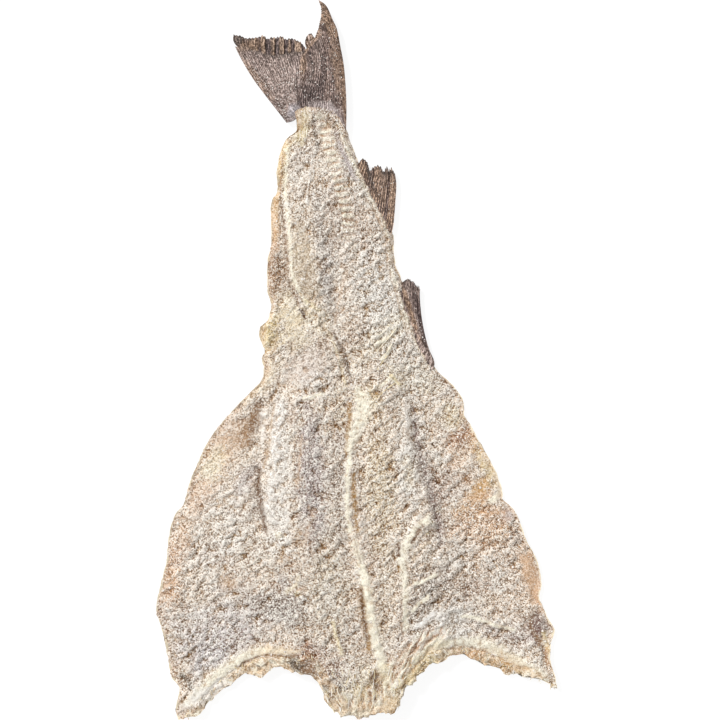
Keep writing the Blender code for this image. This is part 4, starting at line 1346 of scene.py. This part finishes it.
class COD_OT_flesh(bpy.types.Operator):
    """Makes the flesh on both sides of the seam"""
    bl_idname = "cod.flesh"
    bl_label = "Flesh"

    def execute(self, context):
        settings = context.scene.cod_flesh
        material = crusted_material("salted flesh", settings.grain, settings.pit_colour,
                                    settings.hollow_brown_and_shade, settings.salt_colour)
        tree = solid_tree()
        for side in ("left", "right"):
            make_flesh(side, tree, settings, material)
        return {"FINISHED"}


# ---- Skin ------------------------------------------------------------------------------
SIDE_LINES = (Path([(-34, 205), (-40, 120), (-44, 30), (-66, -60), (-84, -150), (-92, -240)]),
              Path([(2, 150), (14, 60), (40, -40), (62, -140), (72, -232)]))


def skin_material(settings):
    """Mottled scales below; the thin edge that shows round the flesh is yellow and olive."""
    material, tree, shader = new_material("dried skin")
    where = add_node(tree, "ShaderNodeTexCoord").outputs["Object"]
    tone, = point_values(tree, tone="Color")
    scales = grain_texture(tree, where, settings.scale_size)
    blotch = noise_texture(tree, where, 16.0, 4.0, 0.62)
    speck = noise_texture(tree, where, 3.0, 3.0, 0.65)
    wrinkle = noise_texture(tree, where, 5.0, 3.0, 0.6, stretch=(1, 0.3, 1))
    dark = mix_colour(tree, 1.0, tone, (0.42, 0.38, 0.33), "MULTIPLY")
    scaly, = point_values(tree, scaly="Fac")
    blotched = map_range(tree, blotch, 0.42, 0.62)
    specked = map_range(tree, speck, 0.5, 0.68)
    limit(tree, scaly, blotched, specked)
    colour = mix_colour(tree, blotched, tone, dark)
    colour = mix_colour(tree, specked, colour, dark)
    between = map_range(tree, scales["edge"], 0.3, 0.75, 0.0, 0.35)
    colour = darkened(tree, between, colour, (0.5, 0.46, 0.42))
    level = weighted_sum(tree, (scales["edge"], -0.35), (scales["random"], 0.15), (wrinkle, 1.0))
    finish_surface(tree, shader, colour, level, 0.8, 0.5)
    return material


def outward(xy):
    """Unit directions out of the outline, at the points of a grid that fills it."""
    across = xy - 0.5 * (xy[:, :1] + xy[:, -1:])
    along = np.zeros_like(xy)
    rows = len(xy)
    along[-rows // 8:] = xy[-1:] - xy[-2:-1]
    along[:rows // 8] = xy[:1] - xy[1:2]
    near_end, near_side = distance(xy, xy[:1], xy[-1:]), distance(xy, xy[:, :1], xy[:, -1:])
    across, along = (d / np.maximum(np.linalg.norm(d, axis=2, keepdims=True), 1e-6)
                     for d in (across, along))
    out = (across * smoothstep(6, 0, near_side)[..., None]
           + along * smoothstep(6, 0, near_end)[..., None])
    return out / np.maximum(np.linalg.norm(out, axis=2, keepdims=True), 1)


def make_skin(settings, material):
    """A thin closed sheet under the whole fish, that shows past the flesh at its edge."""
    rows, columns = settings.rows, settings.columns
    tree = solid_tree()
    halves = []
    for side in ("left", "right"):
        under = solid_surface(tree, side, rows, columns, -1)
        xy = half_grid(side, rows, columns)
        halves.append(np.dstack([xy, np.maximum(under, 0.02), edge_distance(xy)]))
    grid = np.concatenate([halves[0][:, ::-1], halves[1][:, 1:]], axis=1)
    xy, low, inset = grid[..., :2], grid[..., 2], grid[..., 3]
    x, y = xy[..., 0], xy[..., 1]
    rim = smoothstep(5, 0, inset)
    ripple = gradient_noise(x, y, 201, 6) + 0.5 * gradient_noise(x, y, 202, 2.5)
    flat = xy + outward(xy) * (rim * (settings.proud + 0.7 * ripple))[..., None]
    top = np.dstack([flat, low + 1.0 + rim * (0.9 + 0.4 * ripple)])
    edge = smoothstep(6, 1, inset)
    tone = blend(TINTS["skin"], "belly", smoothstep(60, 130, np.abs(x)))
    for path in SIDE_LINES:
        near, away, _, _ = path.measure(x.ravel(), y.ravel(), 8)
        pale = np.zeros(x.size)
        pale[near] = 0.7 * np.exp(-(away / 2.0) ** 2)
        tone = blend(tone, "belly", pale.reshape(x.shape))
    tone = blend(tone, "rind", edge)
    mesh = closed_shell("skin", top, np.dstack([flat, low]))
    set_point_values(mesh, "tone", np.concatenate([tone, tone]))
    set_point_values(mesh, "scaly", 0.7 * np.concatenate([1 - edge, 1 - edge])[..., None])
    return new_piece("skin", mesh, material)


class SkinSettings(bpy.types.PropertyGroup):
    rows: bpy.props.IntProperty(
        name="Rows", description="Cells along the fish", default=260, min=60)
    columns: bpy.props.IntProperty(
        name="Columns", description="Cells from the seam to each side", default=44, min=12)
    proud: bpy.props.FloatProperty(
        name="Proud", description="How far the skin shows past the flesh, in mm", default=0.15)
    scale_size: bpy.props.FloatProperty(
        name="Scales", description="How wide a scale is, in mm", default=1.6, min=0.1)


class COD_OT_skin(bpy.types.Operator):
    """Makes the skin under the flesh"""
    bl_idname = "cod.skin"
    bl_label = "Skin"

    def execute(self, context):
        settings = context.scene.cod_skin
        make_skin(settings, skin_material(settings))
        return {"FINISHED"}


# ---- Fins ------------------------------------------------------------------------------
# Each fin: base and far line across the rays, first and last ray, how many rays, height of the
# top at the base and far line, thickness there, fold height, fold count, ray relief, tints
# (between rays, on rays, at the tips), how much the tips are frayed, how far along the rays the
# tips start, and how much salt lies on it.
FINS = {
    "left_tail_front": dict(
        base=[(-59, 203), (-53, 205), (-48, 210), (-44, 214)],
        far=[(-104, 267), (-98, 268), (-91, 266), (-84, 263), (-76, 260), (-67, 260), (-57, 262),
             (-45, 263)],
        first=[(-60, 202), (-78, 225), (-89, 240), (-98, 255), (-104, 267)],
        last=[(-44, 214), (-49, 220), (-49, 228), (-46, 236), (-44, 241), (-43, 250), (-45, 263)],
        rays=27, top=(8.4, 7.6), thick=(3.4, 1.0), fold=0.15, folds=3, relief=0.42,
        tints=("fin brown", "fin light", "fin dark"), fray=0.012, tip=0.90, salt=0.5),
    "left_tail_back": dict(
        base=[(-98, 262), (-86, 258), (-75, 250), (-62, 247), (-45, 250)],
        far=[(-105, 278), (-102, 277), (-99, 276.5), (-94, 275), (-90, 275), (-84, 276), (-79, 277),
             (-76, 275), (-71, 276), (-68, 275.5), (-64, 277), (-62, 275), (-59, 274), (-55, 275),
             (-51, 273), (-48, 271), (-44.5, 267)],
        first=[(-98, 262), (-105, 271), (-105, 278)], last=[(-45, 250), (-43, 260), (-44.5, 267)],
        rays=24, top=(5.8, 6.2), thick=(1.6, 0.8), fold=0.8, folds=8, relief=0.3,
        tints=("fin shade", "fin tan", "fin dark"), fray=0.05, tip=0.85, salt=0.0),
    "left_tail_curl": dict(
        base=[(-42, 264), (-39, 268), (-36, 271)],
        far=[(-45, 273), (-43, 277), (-39, 279), (-36.5, 276)],
        first=[(-42, 264), (-44, 268), (-44, 272)], last=[(-36, 271), (-36, 273), (-37, 275)],
        rays=4, top=(6.5, 8.5), thick=(0.9, 0.7), fold=0.3, folds=1, relief=0.3,
        tints=("fin tan", "fin pale", "fin dark"), fray=0.05, tip=0.8, salt=0.0),
    "right_tail_lobe": dict(
        base=[(-49, 212), (-40, 209), (-30, 207), (-18, 200), (-10, 188)],
        far=[(-45, 258.5), (-43, 266), (-38, 271), (-34.5, 278.5), (-32, 287), (-31, 298),
             (-33.5, 306.5)],
        first=[(-49, 212), (-50, 220), (-49, 228), (-46, 236), (-44, 245), (-45, 258.5)],
        last=[(-10, 188), (-9, 203), (-9.2, 225), (-11, 249), (-14, 266), (-17, 281),
              (-21, 290), (-26, 301), (-33.5, 306.5)],
        rays=25, top=(8.8, 8.4), thick=(3.6, 1.1), fold=0.25, folds=3, relief=0.45,
        tints=("fin hollow", "fin lilac", "fin tan"), fray=0.008, tip=0.93, salt=0.28),
    "upper_back_fin": dict(
        base=[(-3, 160), (4, 142), (14, 122), (24, 100)],
        far=[(2, 168), (4, 171.5), (6, 172), (9, 169), (11, 162), (14, 165), (20, 167), (22.5, 162),
             (25.5, 166.5), (27, 163), (29, 165.5), (32, 161)],
        first=[(-3, 160), (-1, 164), (2, 168)],
        last=[(24, 100), (30, 110), (32, 125), (33, 139), (33.5, 150), (32, 161)],
        rays=20, top=(6.2, 5.8), thick=(3.0, 1.0), fold=0.5, folds=3, relief=0.45,
        tints=("fin shade", "fin tan", "fin dark"), fray=0.05, tip=0.85, salt=0.12),
    "lower_back_fin": dict(
        base=[(32, 62), (34, 46), (41, 30), (48, 6), (58, -14)],
        far=[(40, 67), (42, 69), (44, 70), (47, 68), (50, 66.5), (54, 63)],
        first=[(32, 62), (36, 65), (40, 67)],
        last=[(58, -14), (66, -4), (61.5, 9), (58, 21), (55, 37), (53.5, 54), (54, 63)],
        rays=15, top=(6.0, 5.8), thick=(3.0, 1.1), fold=0.5, folds=3, relief=0.45,
        tints=("fin pale", "fin shade", "fin dark"), fray=0.03, tip=0.9, salt=0.2),
}


def shortened(grid, frayed):
    """The grid with each column cut back by its share of the way from base to tip."""
    rows, columns = grid.shape[:2]
    v = np.linspace(0, 1, rows)
    cut = [[np.interp(v * (1 - frayed[c]), v, grid[:, c, k]) for k in range(2)]
           for c in range(columns)]
    return np.array(cut).transpose(2, 0, 1)


def make_fin(name, plan, seed, settings, material):
    per_ray, rows = settings.per_ray, settings.rows
    columns = plan["rays"] * per_ray
    xy = patch(smooth_curve(plan["base"], columns + 1), smooth_curve(plan["far"], columns + 1),
               smooth_curve(plan["first"], rows + 1), smooth_curve(plan["last"], rows + 1))
    rng = np.random.default_rng(seed)
    ray = np.linspace(0, plan["rays"], columns + 1)
    own_length = np.interp(ray, np.arange(plan["rays"] + 1), rng.random(plan["rays"] + 1))
    on_ray = 0.5 + 0.5 * np.cos(2 * math.pi * ray)
    xy = shortened(xy, plan["fray"] * (own_length + 0.8 * (1 - on_ray)))
    x, y = xy[..., 0], xy[..., 1]
    v = np.linspace(0, 1, rows + 1)[:, None]
    tilt = rng.normal(0, 1, plan["rays"] + 1)
    uneven = np.interp(ray, np.arange(plan["rays"] + 1), tilt)[None]
    fold_turn = 2 * math.pi * (plan["folds"] * ray / plan["rays"])[None] + 1.8 * uneven
    fold = np.cos(fold_turn) * smoothstep(0, 0.7, v)
    split_rays = 0.5 + 0.5 * np.cos(4 * math.pi * ray)[None]
    relief = (on_ray[None] * (1 - 0.5 * v) + split_rays * 0.5 * v) ** 1.3
    crust = 0.5 * gradient_noise(x, y, seed, 2.2) + 0.3 * gradient_noise(x, y, seed + 1, 5)
    top = (plan["top"][0] + (plan["top"][1] - plan["top"][0]) * v + plan["fold"] * fold
           + plan["relief"] * relief + 0.35 * crust)
    edge = distance(xy, xy[:, :1], xy[:, -1:], xy[-1:])
    thick = (plan["thick"][0] + (plan["thick"][1] - plan["thick"][0]) * v ** 0.6)
    thick = thick * (0.35 + 0.65 * smoothstep(0, 4, edge))
    top = top - 0.5 * (1 - smoothstep(0, 3, edge)) - settings.sink * (1 - smoothstep(0, 0.13, v))
    between, on, tips = (TINTS[tint] for tint in plan["tints"])
    blotch = gradient_noise(x, y, seed + 2, 9)
    tone = blend(between, on, np.clip(0.2 + 0.65 * relief + 0.25 * blotch + 0.2 * uneven, 0, 1))
    tone = blend(tone, tips, 0.8 * smoothstep(plan["tip"], 1, v + 0.05 * blotch))
    # Layers with many folds: pale on the folds' crests and dark in their troughs, painted light and
    # shade.
    if plan["folds"] >= MANY_FOLDS:
        tone = blend(TINTS["fin hollow"], "fin fold", smoothstep(-0.3, 0.9, fold + 0.5 * blotch))
    smooth = np.zeros(x.shape)
    wobble = 0.3 * gradient_noise(x, y, 301, 5)
    for *oval, tint, strength in FIN_STAINS:
        inside = within(x, y, oval, 1.3, 0.4, wobble)
        tone = blend(tone, tint, strength * inside)
        if tint in SMOOTH_FIN_TINTS:
            smooth = np.maximum(smooth, 0.35 * strength * inside)
    mesh = closed_shell(name, np.dstack([xy, top]), np.dstack([xy, np.maximum(top - thick, 0.1)]))
    salted = plan["salt"] * (1 - 0.7 * smoothstep(0.55, 1, v)) * smoothstep(0.5, 3, edge)
    run = np.vstack([np.zeros((1, columns + 1)),
                     np.cumsum(np.linalg.norm(np.diff(xy, axis=0), axis=2), axis=0)])
    across = ray[None] * settings.ray_pitch + 0 * run
    crust = np.clip(0.3 + 0.35 * relief + 0.45 * crust, 0, 1)
    for label, values in (("crust", crust), ("salt", salted), ("calm", smooth)):
        set_point_values(mesh, label, values[..., None])
    set_point_values(mesh, "ray_place", np.dstack([run, across, 0 * run]) * MM)
    # The underside gets 0.6 of the top's tone: painted shade under the fin.
    set_point_values(mesh, "tone", np.concatenate([tone, 0.6 * tone]))
    return new_piece(name, mesh, material)


# Stains on the fins: middle, half length, half width, turn in degrees, tint, strength
FIN_STAINS = [
    # Painted shade in the hollow at the right lobe's root
    ((-40, 227), 15, 10, 55, "fin hollow", 0.85),
    ((-46, 217), 8, 5, 75, "fin hollow", 0.8),
    ((-53, 208), 9, 8, 60, "film", 1.0),
    ((-54, 213), 7, 4, 60, "frost", 0.5),
    ((-30, 215), 14, 5.5, -8, "film", 0.6),
    ((-17, 206), 15, 4.5, -62, "film", 0.6),
    ((-92, 268), 14, 6, 10, "fin tan", 0.5),
    ((-46, 250), 12, 3, 88, "fin tan", 0.75),
    ((-70, 240), 20, 10, 120, "fin pale", 0.3),
    ((-86, 240), 26, 4, 128, "fin tan", 0.5),
    ((-11, 226), 34, 1.8, 93, "fin tan", 0.7),
    ((-16, 250), 30, 6, 98, "fin tan", 0.6),
    ((-24, 287), 20, 5.5, 115, "fin tan", 0.85),
    ((-30, 300), 8, 3, 110, "fin dark", 0.5),
    ((-35, 256), 26, 5, 75, "fin pale", 0.4),
    ((-101, 273), 7, 6, 30, "fin dark", 0.95),
    ((5, 163), 9, 3.5, -70, "fin tan", 0.7),
    ((12, 154), 14, 1.6, -72, "fin dark", 0.9),
    ((30, 140), 26, 3, 90, "fin tan", 0.6),
    ((26, 158), 6, 6, 0, "fin dark", 0.5),
    ((39, 56), 14, 1.6, 105, "fin hollow", 0.8),
    ((45, 43), 28, 2.4, 108, "fin tan", 0.9),
    ((55, 32), 38, 3.4, 104, "fin hollow", 1.0),
    ((62, 4), 22, 1.8, 100, "fin pale", 0.5),
]
SMOOTH_FIN_TINTS = ("film",)
MANY_FOLDS = 4    # from here on the folds' painted light and shade are laid instead of the rays' tints
FIRST_FIN_SEED = 400


class FinSettings(bpy.types.PropertyGroup):
    rows: bpy.props.IntProperty(name="Rows", description="Cells along each ray", default=90, min=8)
    per_ray: bpy.props.IntProperty(
        name="Per Ray", description="Cells across each ray", default=6, min=4)
    ray_pitch: bpy.props.FloatProperty(
        name="Ray Pitch",
        description="How far apart the rays are taken to be for their streaks, in mm",
        default=2.2, min=0.1)
    sink: bpy.props.FloatProperty(
        name="Sink", description="How far a fin's base lies under the flesh, in mm", default=2.4)
    grain: bpy.props.FloatProperty(
        name="Grain", description="How wide the salt's bits on the fins are, in mm",
        default=0.9, min=0.1)
    pit_colour: bpy.props.FloatVectorProperty(
        name="Pits", description="Multiplies the colour between the grains",
        subtype="COLOR", size=3,
        min=0, max=1, default=(0.26, 0.21, 0.18))
    salt_colour: bpy.props.FloatVectorProperty(
        name="Salt", description="Dried salt on the membrane", subtype="COLOR", size=3,
        min=0, max=1, default=tuple(linear(232, 222, 218)))


class COD_OT_fins(bpy.types.Operator):
    """Makes the tail fin's layers and the two back fins"""
    bl_idname = "cod.fins"
    bl_label = "Fins"

    def execute(self, context):
        settings = context.scene.cod_fins
        material = finned_material("dried fin", settings.grain, settings.pit_colour,
                                   settings.salt_colour)
        for seed, (name, plan) in enumerate(FINS.items(), FIRST_FIN_SEED):
            make_fin(name, plan, seed, settings, material)
        return {"FINISHED"}


# ---- Fibres ----------------------------------------------------------------------------
# Fibres that lie on the flesh: landmarks, half width, tint
LONG_FIBRES = [
    ([(34, 28), (28, 20), (20, 11), (16, 6)], 0.7, "ivory"),
    ([(28, 30), (23, 24), (17, 20)], 0.6, "ivory"),
    ([(30, 14), (25, 6), (20, 2)], 0.6, "ivory"),
    ([(23, -12), (30, -17), (38, -24)], 0.6, "ivory"),
    ([(33, -19), (27, -23), (22, -27), (18, -32)], 0.6, "butter"),
    ([(26, 4), (20, -4), (17, -9)], 0.5, "butter"),
    ([(-45, -33), (-39, -31), (-33, -28), (-27, -30)], 0.7, "white"),
    ([(-36, -24), (-33, -28), (-30, -25)], 0.5, "white"),
]


FIBRE_STEPS = 4
FIBRE_BEND = 0.22    # radians at each step


def wandering(rng, start, angle, length):
    """Landmarks of a fibre that leaves start at an angle in degrees and wanders."""
    points, place = [start], np.array(start, float)
    turn = math.radians(angle)
    for _ in range(FIBRE_STEPS):
        turn += rng.normal(0, FIBRE_BEND)
        place = place + length / FIBRE_STEPS * np.array([math.cos(turn), math.sin(turn)])
        points.append(tuple(place))
    return points


def make_fibres(settings, material):
    """Loose threads of flesh: on the fillets, at the neck, and on the collar's ledge."""
    rng = np.random.default_rng(settings.seed)
    ground = Ground("left_flesh", "right_flesh")
    strands = []

    def add(landmarks, half_width, tint, lift=0.2):
        half_widths = (half_width, 0.8 * half_width, 0.5 * half_width)
        line = laid_strand(ground, landmarks, half_widths, lift)
        if line:
            strands.append((line, TINTS[tint]))

    for landmarks, half_width, tint in LONG_FIBRES:
        add(landmarks, half_width, tint)
    for _ in range(settings.neck_fibres):
        start = (rng.uniform(-30, 42), rng.uniform(-298, -264))
        angle = 92 + rng.normal(0, 12) - 0.4 * start[0]
        add(wandering(rng, start, angle, rng.uniform(4, 13)), rng.uniform(0.3, 0.6),
            rng.choice(["ivory", "butter", "white", "cream"]))
    for band in (LEFT_BAND, RIGHT_BAND):
        for x, y in smooth_curve(band, settings.ledge_fibres):
            start = (x + rng.normal(0, 1.5), y - rng.uniform(4, 9))
            add(wandering(rng, start, -90 + rng.normal(0, 45), rng.uniform(2, 6)),
                rng.uniform(0.3, 0.6), rng.choice(["butter", "cream", "ivory", "white"]), 0.3)
    for _ in range(settings.loose_fibres):
        start = (rng.uniform(-60, 60), rng.uniform(-230, 120))
        add(wandering(rng, start, 55 + rng.normal(0, 30), rng.uniform(2, 6)),
            rng.uniform(0.2, 0.35), rng.choice(["white", "ivory", "butter"]))
    mesh = grown(lumpy_strands_tree(), strand_mesh(strands), Material=material, Sides=6,
                 Flatness=0.8, Lump_Size=2 * MM, Lump_Height=0.3 * MM)
    mesh.shade_smooth()
    return new_piece("fibres", mesh, material)


class FibreSettings(bpy.types.PropertyGroup):
    seed: bpy.props.IntProperty(name="Seed", description="Another set of fibres", default=11)
    neck_fibres: bpy.props.IntProperty(
        name="Neck Fibres", description="Threads at the neck", default=90, min=0)
    ledge_fibres: bpy.props.IntProperty(
        name="Ledge Fibres", description="Threads on each side's ledge", default=60, min=0)
    loose_fibres: bpy.props.IntProperty(
        name="Loose Fibres", description="Threads over the fillets", default=60, min=0)
    grain: bpy.props.FloatProperty(
        name="Grain", description="How wide the grains on the fibres are, in mm",
        default=1.0, min=0.1)


class COD_OT_fibres(bpy.types.Operator):
    """Makes the loose fibres"""
    bl_idname = "cod.fibres"
    bl_label = "Fibres"

    def execute(self, context):
        settings = context.scene.cod_fibres
        # Between the fibres' grains the colour darkens to brown: browner fibre and painted shade.
        material = crusted_material("fibres", settings.grain, (0.62, 0.5, 0.34), (0.7, 0.56, 0.4),
                                    linear(255, 252, 242), contrast=0.6, depth=0.4, roughness=0.6)
        make_fibres(settings, material)
        return {"FINISHED"}


# ---- Salt ------------------------------------------------------------------------------
def salt_material():
    material, tree, shader = new_material("salt")
    where = add_node(tree, "ShaderNodeTexCoord").outputs["Object"]
    cloudy = noise_texture(tree, where, 1.5, 2.0, 0.5)
    colour = mix_colour(tree, map_range(tree, cloudy, 0.4, 0.65), linear(250, 246, 240),
                        linear(226, 214, 202))
    tree.links.new(colour, shader.inputs["Base Color"])
    shader.inputs["Roughness"].default_value = 0.4
    return material


FINE_GRAINS = dict(smallest=0.35, largest=0.8, seed=500)    # sizes in mm
COARSE_GRAINS = dict(smallest=0.8, largest=1.5, seed=600)


def make_salt(name, bases, tree, material, density, smallest, largest, seed):
    """Crystals on the base pieces where they carry a salt value, as one piece."""
    joined = bmesh.new()
    for base in bases:
        mesh = grown(tree, bpy.data.objects[base].data.copy(), Material=material, Density=density,
                     Seed=seed, Smallest=smallest * MM, Largest=largest * MM)
        joined.from_mesh(mesh)
        seed += 1
    mesh = bpy.data.meshes.new(name)
    joined.to_mesh(mesh)
    joined.free()
    return new_piece(name, mesh, material)


SALTED_FLESH = ("left_flesh", "right_flesh")
SALTED_FINS = ("left_tail_front", "right_tail_lobe", "upper_back_fin", "lower_back_fin")


class SaltSettings(bpy.types.PropertyGroup):
    fine_density: bpy.props.FloatProperty(
        name="Fine Density", description="Fine grains to a square metre", default=130000, min=0)
    coarse_density: bpy.props.FloatProperty(
        name="Coarse Density", description="Coarse grains to a square metre", default=12000, min=0)


class COD_OT_salt(bpy.types.Operator):
    """Scatters fine and coarse salt over the flesh and the fins"""
    bl_idname = "cod.salt"
    bl_label = "Salt"

    def execute(self, context):
        settings = context.scene.cod_salt
        material, tree = salt_material(), scattered_grains_tree()
        make_salt("fine_salt", SALTED_FLESH + SALTED_FINS, tree, material, settings.fine_density,
                  **FINE_GRAINS)
        make_salt("coarse_salt", SALTED_FLESH, tree, material, settings.coarse_density,
                  **COARSE_GRAINS)
        return {"FINISHED"}


# ---- Stage -----------------------------------------------------------------------------
class StageSettings(bpy.types.PropertyGroup):
    view_width: bpy.props.FloatProperty(
        name="View Width", description="Width that the camera takes in at the fish", default=0.612,
        unit="LENGTH")
    view_height: bpy.props.FloatProperty(
        name="View Height", description="Height above the table that the view's width is at",
        default=0.008, unit="LENGTH")
    lens: bpy.props.FloatProperty(name="Lens", description="Focal length in mm", default=85)
    key_strength: bpy.props.FloatProperty(
        name="Key", description="Strength of the key light", default=2.4)
    key_turn: bpy.props.FloatProperty(
        name="Key Turn", description="Where the key light comes from, from +X towards +Y",
        default=math.radians(135), subtype="ANGLE")
    key_rise: bpy.props.FloatProperty(
        name="Key Rise", description="The key light's height above the table",
        default=math.radians(42),
        subtype="ANGLE")
    key_size: bpy.props.FloatProperty(
        name="Key Size", description="The key light's spread",
        default=math.radians(14), subtype="ANGLE")
    sky_strength: bpy.props.FloatProperty(
        name="Sky", description="Strength of the soft light", default=0.62)
    floor_colour: bpy.props.FloatVectorProperty(
        name="Floor", description="The table's colour", subtype="COLOR", size=3, min=0, max=1,
        default=(0.2, 0.2, 0.2))
    floor_glow: bpy.props.FloatProperty(
        name="Floor Glow", description="Light of the table's own, which keeps shadows pale",
        default=0.85)


FLOOR_HALF = 3.0    # metres
VIEW_ASIDE = 2.55    # mm that the camera stands aside from the landmarks' middle line


def make_floor(settings):
    mesh = bpy.data.meshes.new("floor")
    corners = [(FLOOR_HALF * i, FLOOR_HALF * j, 0) for i, j in ((-1, -1), (1, -1), (1, 1), (-1, 1))]
    mesh.from_pydata(corners, [], [(0, 1, 2, 3)])
    material, _, shader = new_material("pale floor")
    shader.inputs["Base Color"].default_value = (*settings.floor_colour, 1)
    shader.inputs["Roughness"].default_value = 0.9
    shader.inputs["Emission Color"].default_value = (1, 1, 1, 1)
    shader.inputs["Emission Strength"].default_value = settings.floor_glow
    mesh.materials.append(material)
    floor = bpy.data.objects.new("floor", mesh)
    bpy.context.scene.collection.objects.link(floor)


def make_lights(settings):
    light = bpy.data.lights.new("key", "SUN")
    light.energy = settings.key_strength
    light.angle = settings.key_size
    key = bpy.data.objects.new("key", light)
    flat = math.cos(settings.key_rise)
    towards = Vector((flat * math.cos(settings.key_turn), flat * math.sin(settings.key_turn),
                      math.sin(settings.key_rise)))
    key.rotation_euler = towards.to_track_quat("Z", "Y").to_euler()
    bpy.context.scene.collection.objects.link(key)
    world = bpy.data.worlds.new("studio")
    world.use_nodes = True
    sky = world.node_tree.nodes["Background"].inputs
    sky["Color"].default_value = (1, 1, 1, 1)
    sky["Strength"].default_value = settings.sky_strength
    bpy.context.scene.world = world


def make_camera(settings):
    camera = bpy.data.cameras.new("camera")
    camera.lens = settings.lens
    stand = bpy.data.objects.new("camera", camera)
    distance = settings.view_width * settings.lens / camera.sensor_width
    stand.location = ((VIEW_ASIDE - MIDDLE[0]) * MM, -MIDDLE[1] * MM,
                      settings.view_height + distance)
    bpy.context.scene.collection.objects.link(stand)
    bpy.context.scene.camera = stand


class COD_OT_stage(bpy.types.Operator):
    """Makes the floor, the lights and the camera"""
    bl_idname = "cod.stage"
    bl_label = "Stage"

    def execute(self, context):
        settings = context.scene.cod_stage
        make_floor(settings)
        make_lights(settings)
        make_camera(settings)
        context.scene.view_settings.view_transform = "Standard"
        return {"FINISHED"}


# ---- Add-on ----------------------------------------------------------------------------
SETTINGS = {"cod_flesh": FleshSettings, "cod_skin": SkinSettings, "cod_fins": FinSettings,
            "cod_fibres": FibreSettings, "cod_salt": SaltSettings, "cod_stage": StageSettings}
OPERATORS = (COD_OT_flesh, COD_OT_skin, COD_OT_fins, COD_OT_fibres, COD_OT_salt, COD_OT_stage)


class COD_PT_panel(bpy.types.Panel):
    """Lists the fish's parts and their settings"""
    bl_idname = "COD_PT_panel"
    bl_label = "Salted Cod"
    bl_space_type = "VIEW_3D"
    bl_region_type = "UI"
    bl_category = "Salted Cod"

    def draw(self, context):
        for operator in OPERATORS:
            self.layout.operator(operator.bl_idname)
        for name, group in SETTINGS.items():
            box = self.layout.box()
            settings = getattr(context.scene, name)
            for prop in group.__annotations__:
                box.prop(settings, prop)


def register():
    for group in (*SETTINGS.values(), *OPERATORS, COD_PT_panel):
        bpy.utils.register_class(group)
    for name, group in SETTINGS.items():
        setattr(bpy.types.Scene, name, bpy.props.PointerProperty(type=group))


def unregister():
    for name in SETTINGS:
        delattr(bpy.types.Scene, name)
    for group in (COD_PT_panel, *reversed(OPERATORS), *reversed(SETTINGS.values())):
        bpy.utils.unregister_class(group)


def main():
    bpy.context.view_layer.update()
    register()
    bpy.ops.cod.flesh()
    bpy.ops.cod.skin()
    bpy.ops.cod.fins()
    bpy.ops.cod.fibres()
    bpy.ops.cod.salt()
    bpy.ops.cod.stage()


if __name__ == "__main__":
    main()
